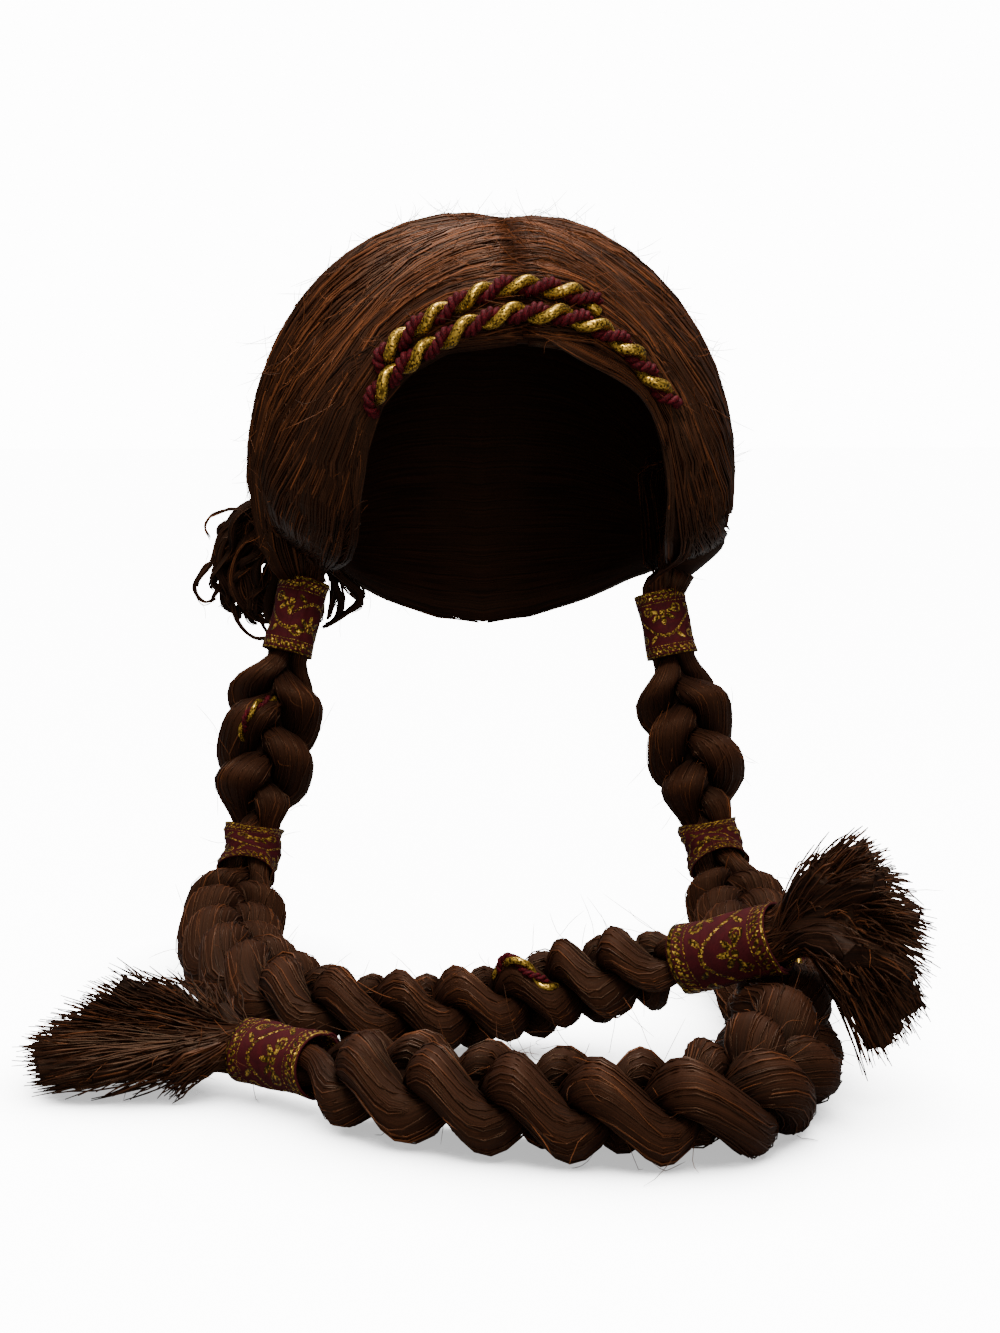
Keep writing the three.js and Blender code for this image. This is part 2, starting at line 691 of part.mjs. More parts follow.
// Cut ends: locks fused to the bundle that leaves the last cuff
function tuftGeometry(side) {
  const route = routes[side];
  const cuff = cuffsOf(side).find(({ name }) => name === "end");
  const held = (boreOf(cuff) - clearance) * heldShare;
  const mouth = route.length + cuff.length / 2;
  const bundle = [clearance, cuff.length / 2 + 1, cuff.length / 2 + 8].map((ahead, row) => {
    const frame = route.at(route.length + ahead);
    const half = row === 2 ? held * bundleSwell : held;
    return ellipseRing(frame.point, frame.wide, frame.across, half, half, bundleSides);
  });
  const { point, tangent } = route.at(mouth);
  const out = new THREE.Vector3(tangent.x, tangent.y, 0).normalize();
  const near = new THREE.Vector3().crossVectors(Z, out).multiplyScalar(side === "right" ? -1 : 1);
  const locks = tuftTables[side].map((row) => {
    const end = point
      .clone()
      .addScaledVector(out, row.out * tuftLength)
      .addScaledVector(Z, row.up * tuftLength)
      .addScaledVector(near, row.near * tuftLength);
    const bend = point.clone().lerp(end, 0.55).addScaledVector(Z, row.droop * tuftLength);
    const start = point.clone().addScaledVector(tangent, -2);
    const curve = new THREE.QuadraticBezierCurve3(start, bend, end);
    const half = (row.thick * lockThickness) / 2;
    return lockGeometry(curve, (share) => half * (0.6 + 1.4 * share - share ** 2), lockRows);
  });
  return toGeometry(mainBody(fuse([loft(bundle), ...locks])));
}

// Nape curls, cut clear of the crown that they spring from
function curlGeometry(crown) {
  const curls = curlTables.map((table) => {
    const points = table.map(
      (row) => new THREE.Vector3(row.x * crownHalfWidth, (row.y * headDepth) / 2, -row.z * napeDrop),
    );
    const curve = new THREE.CatmullRomCurve3(points, false, "centripetal");
    const places = table.map((row, index) => ({ ...row, place: index / (table.length - 1) }));
    return lockGeometry(curve, (share) => lookUp(places, "place", share, "thick") * sideHair, curlRows);
  });
  return toGeometry(mainBody(fuse(curls).subtract(crown)));
}

// Forehead cords: two plies twisted round each other, lying on the hair above the forehead
function plyGeometry(rows, seat, ply) {
  const path = new THREE.CatmullRomCurve3(
    rows.map(({ azimuth, drop }) => {
      const angle = angleAt(drop * napeDrop);
      const lift = crownHair(azimuth, angle) + cordThickness / 2 + seat;
      return headPoint(azimuth, angle, lift);
    }),
    false,
    "centripetal",
  );
  const length = path.getLength();
  const turns = length / cordPitch;
  const count = Math.round(turns * plyRingsPerTurn);
  const centreOffset = cordThickness * plyOffsetShare;
  const rings = [];
  for (let step = 0; step <= count; step++) {
    const share = step / count;
    const centre = path.getPointAt(share);
    const tangent = path.getTangentAt(share);
    const outward = new THREE.Vector3(centre.x, centre.y, centre.z + domeHeight);
    outward.addScaledVector(tangent, -outward.dot(tangent)).normalize();
    const angle = ply * Math.PI - 2 * Math.PI * turns * share;
    const arm = outward.applyAxisAngle(tangent, angle);
    const beside = new THREE.Vector3().crossVectors(tangent, arm);
    const middle = centre.addScaledVector(arm, centreOffset);
    const radial = centreOffset * Math.cos(Math.PI / plyRingsPerTurn) - clearance;
    rings.push(ellipseRing(middle, arm, beside, radial, cordThickness * plyHalfShare, plySides));
  }
  return loft(rings);
}

// Materials
const finish = (color, roughness, metalness) =>
  new THREE.MeshStandardMaterial({ color, roughness, metalness });
const hair = () => finish("#3c2012", 0.55, 0);
const brocade = () => finish("#4a1226", 0.6, 0.2);
const goldYarn = () => finish("#b8923c", 0.4, 0.7);
const burgundyYarn = () => finish("#5a1029", 0.8, 0);

// The whole wig
const wig = new THREE.Group();

function place(name, geometry, material) {
  const mesh = new THREE.Mesh(geometry, material);
  mesh.name = name;
  wig.add(mesh);
}

const crown = mainBody(fuse([crownShell(), gatherGeometry("right"), gatherGeometry("left")]));
place("crown_hair", toGeometry(crown), hair());
place("nape_curls", curlGeometry(crown), hair());

for (const [row, table] of Object.entries(foreheadRows)) {
  place(`${row}_cord_gold`, plyGeometry(table, foreheadSeats[row], 0), goldYarn());
  place(`${row}_cord_burgundy`, plyGeometry(table, foreheadSeats[row], 1), burgundyYarn());
}

for (const side of ["right", "left"]) {
  for (let strand = 0; strand < 3; strand++) {
    place(`${side}_strand_${strand + 1}`, strandGeometry(side, strand), hair());
  }
  for (const cuff of cuffsOf(side)) {
    place(`${side}_${cuff.name}_cuff`, cuffGeometry(side, cuff), brocade());
  }
  place(`${side}_tuft`, tuftGeometry(side), hair());
}

for (const [name, row] of Object.entries(plaitCordTable)) {
  place(name, plaitCordGeometry(row), goldYarn());
}

export default wig;
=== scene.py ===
# A long-haired wig with two three-strand plaits, brocade ribbon cuffs and twisted cords round the forehead.
# Metres, +Z up, face towards -Y, the wearer's left towards +X, origin at the top of the hollow.
import math

import bpy
import numpy as np
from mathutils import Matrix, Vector
from mathutils.bvhtree import BVHTree


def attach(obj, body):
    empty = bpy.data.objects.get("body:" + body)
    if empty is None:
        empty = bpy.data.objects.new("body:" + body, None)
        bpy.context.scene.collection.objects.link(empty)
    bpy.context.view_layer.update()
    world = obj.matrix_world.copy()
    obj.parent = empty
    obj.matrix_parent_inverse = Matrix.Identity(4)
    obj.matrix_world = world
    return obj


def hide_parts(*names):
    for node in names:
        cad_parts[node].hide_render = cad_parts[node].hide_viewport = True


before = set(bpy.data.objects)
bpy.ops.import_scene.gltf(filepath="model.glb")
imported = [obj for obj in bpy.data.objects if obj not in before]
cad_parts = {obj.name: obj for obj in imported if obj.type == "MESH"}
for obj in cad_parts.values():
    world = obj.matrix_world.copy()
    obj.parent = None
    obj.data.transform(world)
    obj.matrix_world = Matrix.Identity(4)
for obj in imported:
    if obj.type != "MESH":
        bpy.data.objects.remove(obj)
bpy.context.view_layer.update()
chance = np.random.default_rng(7)

# The view: the wig as it is worn, seen from the front and a little from its right, with the lower halves
# of the plaits laid on a surface below it. The surface is pale and the light is soft.
SURFACE_DROP = 0.286
HEADING, TILT = math.radians(6.0), math.radians(6.77)
WHITE = (1.0, 1.0, 1.0, 1.0)
gaze = Vector((math.sin(HEADING) * math.cos(TILT), math.cos(HEADING) * math.cos(TILT), -math.sin(TILT)))
camera = bpy.data.objects.new("camera", bpy.data.cameras.new("camera"))
camera.location = (-0.0941, -0.8951, -0.070)
camera.rotation_euler = gaze.to_track_quat("-Z", "Y").to_euler()
camera.data.lens = 57.87
camera.data.clip_end = 50
bpy.context.scene.collection.objects.link(camera)
bpy.context.scene.camera = camera


def feed(tree, target, inputs):
    """Gives the inputs of a node their values, which are numbers, colours or the sockets of other nodes."""
    for name, value in inputs.items():
        if isinstance(value, bpy.types.NodeSocket):
            tree.links.new(value, target.inputs[name])
        else:
            target.inputs[name].default_value = value


def add_node(tree, kind, inputs=None, **settings):
    """A shader node with its settings and inputs."""
    made = tree.nodes.new("ShaderNode" + kind)
    for name, value in settings.items():
        setattr(made, name, value)
    feed(tree, made, inputs or {})
    return made


def mixed(tree, factor, low, high):
    """A colour between low and high, which are colours or sockets, by the socket factor."""
    return add_node(tree, "Mix", {"Factor": factor, 6: low, 7: high}, data_type="RGBA").outputs[2]


def ranged(tree, factor, low, high):
    """A number between low and high, by the socket factor."""
    return add_node(tree, "MapRange", {"Value": factor, "To Min": low, "To Max": high}).outputs["Result"]


world = bpy.data.worlds.new("studio")
bpy.context.scene.world = world
world.use_nodes = True
seen = add_node(world.node_tree, "LightPath").outputs["Is Camera Ray"]
backdrop_strength = ranged(world.node_tree, seen, 0.24, 14.0)
feed(world.node_tree, world.node_tree.nodes["Background"], {"Color": WHITE, "Strength": backdrop_strength})

for name, place, size, power, tint in (
    ("key_light", (-0.1, -0.95, 1.25), 0.5, 35, (1.0, 0.98, 0.95)),
    ("fill_light", (0.15, -1.5, 0.0), 1.2, 10.0, (1.0, 0.98, 0.97)),
    ("top_light", (0.05, 0.15, 1.0), 0.5, 18, (1.0, 0.98, 0.96)),
):
    lamp = bpy.data.objects.new(name, bpy.data.lights.new(name, "AREA"))
    lamp.data.size = size
    lamp.data.energy = power
    lamp.data.color = tint
    lamp.location = place
    aim = Vector((0.0, -0.05, -0.1)) - lamp.location
    lamp.rotation_euler = aim.to_track_quat("-Z", "Y").to_euler()
    bpy.context.scene.collection.objects.link(lamp)


def linear(code):
    """A colour written as #rrggbb, as the linear numbers that a shader takes."""
    parts = [int(code[i:i + 2], 16) / 255 for i in (1, 3, 5)]
    return tuple(p / 12.92 if p <= 0.04045 else ((p + 0.055) / 1.055) ** 2.4 for p in parts) + (1.0,)


def new_material(name):
    """A material with its node tree and its Principled shader."""
    material = bpy.data.materials.new(name)
    material.use_nodes = True
    tree = material.node_tree
    return material, tree, tree.nodes["Principled BSDF"]


floor_material, floor_tree, floor_shader = new_material("pale_floor")
grain = add_node(floor_tree, "TexNoise", {"Scale": 3.0})
seen = add_node(floor_tree, "LightPath").outputs["Is Camera Ray"]
# The floor glows evenly white for the camera alone, and ambient occlusion dims that glow close to the hair: a
# painted contact shadow.
painted_contact_shadow = add_node(floor_tree, "AmbientOcclusion", {"Distance": 0.05})
glow_with_painted_shadow = add_node(floor_tree, "MapRange", {
    "Value": painted_contact_shadow.outputs["AO"], "From Min": 0.25, "To Min": 0.6, "To Max": 13.0})
floor_glow = add_node(floor_tree, "Math", {0: seen, 1: glow_with_painted_shadow.outputs["Result"]}, operation="MULTIPLY")
feed(floor_tree, floor_shader, {
    "Base Color": mixed(floor_tree, grain.outputs["Fac"], (0.22, 0.22, 0.22, 1.0), (0.25, 0.25, 0.25, 1.0)),
    "Roughness": 0.9,
    "Emission Color": WHITE,
    "Emission Strength": floor_glow.outputs[0]})
bpy.ops.mesh.primitive_grid_add(x_subdivisions=8, y_subdivisions=8, size=24, location=(0, 0, -SURFACE_DROP))
floor = bpy.context.object
floor.name = "floor"
floor.data.materials.append(floor_material)

# The hair: fine glossy synthetic fibre, dark brown with auburn lights. Every lock, plait and curl is
# many fibres over a darker body, and all of them share one streaky finish that runs along the hair.
HAIR_DARK = linear("#120a07")
HAIR_MIDDLE = linear("#321b10")
HAIR_LIGHT = linear("#764224")


def group_tree(name, sockets_in, sockets_out):
    """An empty shader node group with the named inputs and outputs."""
    tree = bpy.data.node_groups.new(name, "ShaderNodeTree")
    for socket, kind in sockets_in:
        tree.interface.new_socket(name=socket, in_out="INPUT", socket_type="NodeSocket" + kind)
    for socket, kind in sockets_out:
        tree.interface.new_socket(name=socket, in_out="OUTPUT", socket_type="NodeSocket" + kind)
    return tree, tree.nodes.new("NodeGroupInput"), tree.nodes.new("NodeGroupOutput")


class Field:
    """A number that changes over a surface, written with plain sums and built as shader nodes."""

    def __init__(self, tree, socket):
        self.tree = tree
        self.socket = socket

    def node(self, operation, *others):
        inputs = {0: self.socket}
        for slot, other in enumerate(others, 1):
            inputs[slot] = other.socket if isinstance(other, Field) else other
        return Field(self.tree, add_node(self.tree, "Math", inputs, operation=operation).outputs[0])

    def __add__(self, other):
        return self.node("ADD", other)

    def __sub__(self, other):
        return self.node("SUBTRACT", other)

    def __mul__(self, other):
        return self.node("MULTIPLY", other)

    def __truediv__(self, other):
        return self.node("DIVIDE", other)

    def __lt__(self, other):
        return self.node("LESS_THAN", other)

    def __gt__(self, other):
        return self.node("GREATER_THAN", other)

    def __or__(self, other):
        return self.node("MAXIMUM", other)

    def __and__(self, other):
        return self.node("MINIMUM", other)

    def __abs__(self):
        return self.node("ABSOLUTE")


streaks_group, streaks_in, streaks_out = group_tree(
    "hair_streaks",
    [("Tone", "Float"), ("Along", "Float"), ("Across", "Float")],
    [("Tone", "Float"), ("Ridge", "Float")])
flow = add_node(streaks_group, "UVMap", uv_map="flow")
flow_parts = add_node(streaks_group, "SeparateXYZ", {0: flow.outputs[0]})
flow_along = Field(streaks_group, flow_parts.outputs[0]) * Field(streaks_group, streaks_in.outputs["Along"])
flow_across = Field(streaks_group, flow_parts.outputs[1]) * Field(streaks_group, streaks_in.outputs["Across"])
flow_place = add_node(streaks_group, "CombineXYZ", {0: flow_along.socket, 1: flow_across.socket})
streak_noise = add_node(streaks_group, "TexNoise", {
    "Vector": flow_place.outputs[0], "Scale": 1.0, "Detail": 3.0})
streak = Field(streaks_group, streak_noise.outputs["Fac"])
toned = Field(streaks_group, streaks_in.outputs["Tone"]) + (streak - 0.5) * 0.9
feed(streaks_group, streaks_out, {"Tone": toned.socket, "Ridge": streak.socket})


def hair_material(name, along, across, roughness, specular, ridge_depth):
    """Hair finish: the tone of each fibre and the streaks along it choose a colour from dark to auburn."""
    material, tree, shader = new_material(name)
    tone = add_node(tree, "Attribute", attribute_name="tone")
    streaks = add_node(tree, "Group", node_tree=streaks_group)
    feed(tree, streaks, {"Tone": tone.outputs["Fac"], "Along": along, "Across": across})
    ramp = add_node(tree, "ValToRGB", {"Fac": streaks.outputs["Tone"]})
    ramp.color_ramp.elements[0].position = 0.05
    ramp.color_ramp.elements[0].color = HAIR_DARK
    ramp.color_ramp.elements[1].position = 0.95
    ramp.color_ramp.elements[1].color = HAIR_LIGHT
    ramp.color_ramp.elements.new(0.5).color = HAIR_MIDDLE
    ridge = streaks.outputs["Ridge"]
    relief = add_node(tree, "Bump", {"Strength": 0.6, "Distance": ridge_depth, "Height": ridge})
    feed(tree, shader, {
        "Base Color": ramp.outputs["Color"],
        "Roughness": ranged(tree, ridge, roughness - 0.06, roughness + 0.10),
        "Normal": relief.outputs["Normal"],
        "Specular IOR Level": specular,
        "Specular Tint": (1.0, 0.6, 0.35, 1.0)})
    return material


fibre_finish = hair_material("hair_fibre", 0.35, 1.0, 0.38, 0.21, 0.00005)
body_finish = hair_material("hair_body", 0.2, 2.6, 0.56, 0.09, 0.0005)


def unit(vectors):
    return vectors / np.maximum(np.linalg.norm(vectors, axis=-1, keepdims=True), 1e-12)


def add_piece(name, node, material, points, faces, flow_at_corners, tone):
    """A named mesh from arrays. faces is a list of arrays of corner numbers, one for each corner count."""
    mesh = bpy.data.meshes.new(name)
    mesh.vertices.add(len(points))
    mesh.vertices.foreach_set("co", points.astype(np.float32).ravel())
    corners = np.concatenate([part.ravel() for part in faces])
    totals = np.concatenate([np.full(len(part), part.shape[1]) for part in faces])
    mesh.loops.add(len(corners))
    mesh.loops.foreach_set("vertex_index", corners.astype(np.int32))
    mesh.polygons.add(len(totals))
    mesh.polygons.foreach_set("loop_start", (np.cumsum(totals) - totals).astype(np.int32))
    mesh.polygons.foreach_set("use_smooth", np.ones(len(totals), dtype=bool))
    mesh.uv_layers.new(name="flow")
    mesh.uv_layers["flow"].data.foreach_set("uv", flow_at_corners.astype(np.float32).ravel())
    mesh.attributes.new("tone", "FLOAT", "POINT")
    mesh.attributes["tone"].data.foreach_set("value", np.broadcast_to(tone, len(points)).astype(np.float32))
    mesh.update(calc_edges=True)
    mesh.validate()
    mesh.materials.append(material)
    piece = bpy.data.objects.new(name, mesh)
    bpy.context.scene.collection.objects.link(piece)
    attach(piece, "root")
    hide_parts(node)
    return piece


def rings_piece(name, node, material, rings, tone, across_scale=1000.0):
    """Closed bodies through rings of points. rings is bodies x rings x sides x 3."""
    bodies, count, sides, _ = rings.shape
    number = np.arange(bodies * count * sides).reshape(bodies, count, sides)
    following = np.roll(number, -1, 2)
    quads = np.stack([number[:, :-1], following[:, :-1], following[:, 1:], number[:, 1:]], -1)
    middle = rings.mean(axis=2)
    steps = np.linalg.norm(np.diff(middle, axis=1), axis=2)
    along = 100 * np.concatenate([np.zeros((bodies, 1)), np.cumsum(steps, axis=1)], axis=1)
    girth = np.linalg.norm(rings - np.roll(rings, 1, 2), axis=3).sum(axis=2).max(axis=1)
    lane = chance.uniform(0, 400, bodies)
    turned = np.arange(sides + 1) / sides * (girth * across_scale)[:, None] + lane[:, None]
    u = np.broadcast_to(along[:, :, None], (bodies, count, sides))
    low = np.broadcast_to(turned[:, None, :-1], (bodies, count - 1, sides))
    high = np.broadcast_to(turned[:, None, 1:], (bodies, count - 1, sides))
    corner_flow = np.stack([
        np.stack([u[:, :-1], low], -1), np.stack([u[:, :-1], high], -1),
        np.stack([u[:, 1:], high], -1), np.stack([u[:, 1:], low], -1)], -2)
    caps = np.concatenate([number[:, 0, ::-1], number[:, -1]])
    cap_along = np.concatenate([along[:, 0], along[:, -1]])
    cap_lane = np.tile(lane, 2)
    cap_values = [np.broadcast_to(values[:, None], caps.shape) for values in (cap_along, cap_lane)]
    cap_flow = np.stack(cap_values, -1)
    flows = np.concatenate([corner_flow.reshape(-1, 2), cap_flow.reshape(-1, 2)])
    tones = np.asarray(tone, float)
    tones = tones.reshape(tones.shape + (1,) * (3 - tones.ndim))
    tones = np.broadcast_to(tones, (bodies, count, sides)).reshape(-1)
    faces = [quads.reshape(-1, 4), caps]
    return add_piece(name, node, material, rings.reshape(-1, 3), faces, flows, tones)


def rings_along(paths, radius, sides, turn=0.0):
    """Round rings of a radius along paths. paths is bodies x rings x 3, radius fits bodies x rings."""
    tangents = unit(np.gradient(paths, axis=1))
    start = np.where(np.abs(tangents[:, 0, 2:]) > 0.8, [[0.0, 1.0, 0.0]], [[0.0, 0.0, 1.0]])
    lead = unit(np.cross(tangents[:, 0], start))
    leads = [lead]
    for step in range(1, paths.shape[1]):
        tangent = tangents[:, step]
        lead = unit(lead - tangent * np.sum(lead * tangent, axis=1, keepdims=True))
        leads.append(lead)
    leads = np.stack(leads, 1)
    beside = np.cross(tangents, leads)
    angles = turn + 2 * np.pi * np.arange(sides) / sides
    arms = leads[:, :, None] * np.cos(angles)[:, None] + beside[:, :, None] * np.sin(angles)[:, None]
    reach = np.broadcast_to(radius, paths.shape[:2])
    return paths[:, :, None] + arms * reach[:, :, None, None]


def fibres_piece(name, node, paths, radius, tone, blunt=0.35):
    """Many fibres of hair as one piece, each a three-sided tube that thins out at both ends."""
    count = paths.shape[1]
    share = np.linspace(0, 1, count)
    thin = np.clip(np.minimum(share, 1 - share) * 12, blunt, 1)
    radii = np.reshape(radius, (-1, 1)) * thin
    return rings_piece(name, node, fibre_finish, rings_along(paths, radii, 3), tone, 0.0)


def random_tones(count, middle, spread=0.12):
    return np.clip(middle + chance.normal(0, spread, count), 0.02, 0.95)


def thinned(number):
    return number


# The plaits: each is three thick strands of hair, woven flat and held by three cuffs. The upper part
# hangs from the gathered hair beside the cheek and the lower part lies flat and turns forward.
CROWN_HALF = 0.104
PLAIT_WIDTH, PLAIT_DEPTH, PLAIT_PERIOD, PLAIT_REACH = 0.036, 0.029, 0.072, 0.300
LYING_GAP = 0.0005
CUFF_LENGTH, CUFF_WIDTH, CUFF_WALL = 0.030, 0.022, 0.0012
STRAND_GAP = 0.0004
SWAY, WEAVE = 0.25 * PLAIT_WIDTH, 0.22 * PLAIT_DEPTH
STRAND_WIDE, STRAND_DEEP = 0.29 * PLAIT_WIDTH, 0.34 * PLAIT_DEPTH
HALF_WIDE, HALF_DEEP = SWAY + STRAND_WIDE, WEAVE + STRAND_DEEP
PRESSED_ROUND = 4.5
SWAY_HOLD = 1.0


def table(columns, *rows):
    """A short table as one array for each named column."""
    return {name: np.array([row[i] for row in rows], float) for i, name in enumerate(columns.split())}


# Rows along the middle line of each plait. x, y and rise are shares of CROWN_HALF, PLAIT_REACH and
# SURFACE_DROP, over lifts it by its depth, size and period scale the weave, and twist turns it in degrees.
route_tables = {
    "right": table(
        "x y rise over size period twist",
        (-0.825, -0.067, 0.406, 0, 1, 1, 0),
        (-0.905, -0.09, 0.294, 0, 1.04, 1, 0),
        (-0.955, -0.12, 0.206, 0, 1.04, 1, 0),
        (-1.01, -0.165, 0.087, 0, 1, 1, 0),
        (-1.07, -0.245, 0.016, 0, 1.04, 1, 0),
        (-1.08, -0.36, 0, 0, 1, 1, 0),
        (-1.0, -0.48, 0, 0, 0.95, 0.95, 0),
        (-0.86, -0.57, 0, 0, 0.9, 0.88, 0),
        (-0.66, -0.625, 0, 0, 0.86, 0.85, -10),
        (-0.43, -0.64, 0, 0, 0.86, 0.85, -10),
        (-0.2, -0.645, 0, 0.1, 0.88, 0.85, -10),
        (0.03, -0.66, 0, 0.32, 0.92, 0.85, -10),
        (0.25, -0.705, 0, 0.62, 0.92, 0.85, -10),
        (0.49, -0.765, 0, 1.0, 0.9, 0.85, -10)),
    "left": table(
        "x y rise over size period twist",
        (0.647, -0.067, 0.39, 0, 1, 1, 0),
        (0.7, -0.09, 0.284, 0, 1, 1, 0),
        (0.74, -0.12, 0.201, 0, 1, 1, 0),
        (0.79, -0.165, 0.08, 0, 1, 1, 0),
        (0.83, -0.26, 0.01, 0, 1.02, 1, 0),
        (0.8, -0.4, 0, 0, 1, 1, 0),
        (0.75, -0.54, 0, 0, 1, 1, 25),
        (0.7, -0.68, 0, 0, 1, 1, 60),
        (0.63, -0.82, 0, 0, 1, 1, 100),
        (0.49, -0.935, 0, 0, 1, 1, 140),
        (0.3, -0.995, 0, 0, 0.98, 1, 170),
        (0.08, -1.0, 0, 0, 0.96, 1, 180),
        (-0.14, -0.98, 0, 0, 0.95, 1, 180),
        (-0.38, -0.945, 0, 0, 0.95, 1, 180),
        (-0.62, -0.89, 0, 0, 0.95, 1, 180),
        (-0.9, -0.8, 0, 0, 0.9, 1, 180)),
}
# Each cuff sits at a row of its plait's table. Its length and width are shares of the sizes above.
cuff_columns = "row length width flare fold arch"
cuff_tables = {
    "right": table(
        cuff_columns,
        (0, 1.03, 0.93, 0.06, 0.02, 0), (3, 0.63, 1.05, 0.04, 0.07, 0.1), (13, 1.2, 1, 0.05, 0.03, 0)),
    "left": table(
        cuff_columns,
        (0, 0.9, 0.95, 0.06, 0.02, 0), (3, 0.63, 1.09, 0.04, 0.06, 0.1), (15, 1, 0.93, 0.05, 0.03, 0)),
}


def line_through(points, steps):
    """A smooth line through points, close-set: centripetal, so that it never loops between them."""
    points = np.asarray(points, float)
    ends = [2 * points[0] - points[1], *points, 2 * points[-1] - points[-2]]
    line = []
    for a, b, c, d in zip(ends, ends[1:], ends[2:], ends[3:]):
        before, here, after = (np.linalg.norm(q - p) ** 0.5 for p, q in ((a, b), (b, c), (c, d)))
        leave = ((b - a) / before - (c - a) / (before + here) + (c - b) / here) * here
        arrive = ((c - b) / here - (d - b) / (here + after) + (d - c) / after) * here
        t = np.linspace(0, 1, steps, endpoint=False)[:, None]
        square, cube = 3 * (c - b) - 2 * leave - arrive, 2 * (b - c) + leave + arrive
        line.append(b + leave * t + square * t**2 + cube * t**3)
    return np.concatenate([*line, points[-1:]])


def evenly(line, count):
    """The same line with count points at even distances."""
    lengths = np.concatenate([[0], np.cumsum(np.linalg.norm(np.diff(line, axis=0), axis=1))])
    places = np.linspace(0, lengths[-1], count)
    return np.stack([np.interp(places, lengths, line[:, axis]) for axis in range(3)], 1), lengths


class Route:
    """The middle line of one plait, with its wide and its thick direction at any distance along it."""

    STEPS = 40

    def __init__(self, rows, half_heights):
        rest = rows["rise"] * SURFACE_DROP + rows["over"] * PLAIT_DEPTH + LYING_GAP
        heights = rest + half_heights - SURFACE_DROP
        corners = np.stack([rows["x"] * CROWN_HALF, rows["y"] * PLAIT_REACH, heights], 1)
        line = line_through(corners, self.STEPS)
        self.points, lengths = evenly(line, len(line))
        self.rows = rows
        self.length = lengths[-1]
        self.row_places = lengths[:: self.STEPS]
        self.places = np.linspace(0, self.length, len(line))
        self.tangents = unit(np.gradient(self.points, axis=0))
        face = np.array([0.0, -1.0, 0.0])
        self.faces = []
        for tangent in self.tangents:
            face = unit(face - tangent * (face @ tangent))
            self.faces.append(face)
        self.faces = np.array(self.faces)

    def column(self, name, places):
        return np.interp(places, self.row_places, self.rows[name])

    def vectors(self, values, held):
        return np.stack([np.interp(held, self.places, values[:, axis]) for axis in range(3)], -1)

    def at(self, places):
        """The point, the tangent, the wide and the thick direction at places along the line."""
        places = np.asarray(places, float)
        held = np.clip(places, 0, self.length)
        tangent = unit(self.vectors(self.tangents, held))
        face = unit(self.vectors(self.faces, held))
        point = self.vectors(self.points, held) + tangent * (places - held)[..., None]
        twist = np.radians(self.column("twist", places))[..., None]
        across = unit(face * np.cos(twist) + np.cross(tangent, face) * np.sin(twist))
        return point, tangent, np.cross(across, tangent), across


def resting_route(rows):
    """A route whose plait rests on the floor wherever its flat face is turned to the side."""
    first = Route(rows, rows["size"] * HALF_DEEP)
    _, tangent, wide, across = first.at(first.row_places)
    half_wide = HALF_WIDE * wide[:, 2]
    half_deep = HALF_DEEP * np.hypot(across[:, 2], tangent[:, 2])
    return Route(rows, rows["size"] * np.hypot(half_wide, half_deep))


routes = {side: resting_route(rows) for side, rows in route_tables.items()}
cuffs = {}
for side, rows in cuff_tables.items():
    for number, name in enumerate(("top", "middle", "end")):
        cuff = {column: values[number] for column, values in rows.items()}
        cuff["place"] = routes[side].row_places[int(cuff["row"])]
        cuff["length"] *= CUFF_LENGTH
        cuff["arch"] *= CUFF_LENGTH
        cuff["width"] *= CUFF_WIDTH
        cuff["bore"] = cuff["width"] / 2 * (1 - cuff["fold"]) - CUFF_WALL
        cuffs[side, name] = cuff


def smooth(values):
    values = np.clip(values, 0, 1)
    return values * values * (3 - 2 * values)


def plait_size(side, places):
    """Share of its full size that the plait keeps, drawn in where a cuff holds it."""
    share = routes[side].column("size", places)
    for name in ("top", "middle", "end"):
        cuff = cuffs[side, name]
        held = cuff["bore"] / HALF_WIDE
        outside = np.maximum(0, np.abs(places - cuff["place"]) - cuff["length"] / 2 - 0.001)
        share = np.minimum(share, held + (share - held) * smooth(outside / (PLAIT_WIDTH / 2)))
    return share


def plait_turns(side, places):
    """Turns of the weave from the plait's start to places along it, and in the whole plait."""
    fine = np.arange(0, routes[side].length + 0.0005, 0.0005)
    rate = 1 / (PLAIT_PERIOD * routes[side].column("period", fine))
    turns = np.concatenate([[0], np.cumsum(rate[:-1]) * 0.0005])
    return np.interp(places, fine, turns), turns[-1]


def strand_centres(turns, size):
    """Centres of the three strands across the plait, as strands x places x 2."""
    phase = 2 * np.pi * (np.asarray(turns) + np.arange(3)[:, None] / 3)
    sway = np.tanh(SWAY_HOLD * np.sin(phase)) / math.tanh(SWAY_HOLD)
    return np.stack([SWAY * sway, WEAVE * np.sin(2 * phase)], -1) * np.asarray(size)[..., None]


def strand_places(side, strand, places, angles, share):
    """Points of one strand at places along the plait. angles and share fit fibres x places."""
    turns, _ = plait_turns(side, places)
    size = plait_size(side, places)
    point, _, wide, across = routes[side].at(places)
    centre = strand_centres(turns, size)[strand]
    way = np.stack([np.cos(angles), np.sin(angles)], -1)
    reach = 1 / np.hypot(way[..., 0] / (STRAND_WIDE * size), way[..., 1] / (STRAND_DEEP * size))
    pressed = reach ** -PRESSED_ROUND
    centres = strand_centres(turns, size)
    for other in (1, 2):
        apart = centres[(strand + other) % 3] - centres[strand]
        gap = np.linalg.norm(apart, axis=-1)
        towards = np.maximum((way * apart).sum(axis=-1) / gap, 0)
        pressed = pressed + (towards * 2 / (gap - STRAND_GAP)) ** PRESSED_ROUND
    reach = pressed ** (-1 / PRESSED_ROUND)
    place = centre + way * (reach * share)[..., None]
    return point + wide * place[..., :1] + across * place[..., 1:]


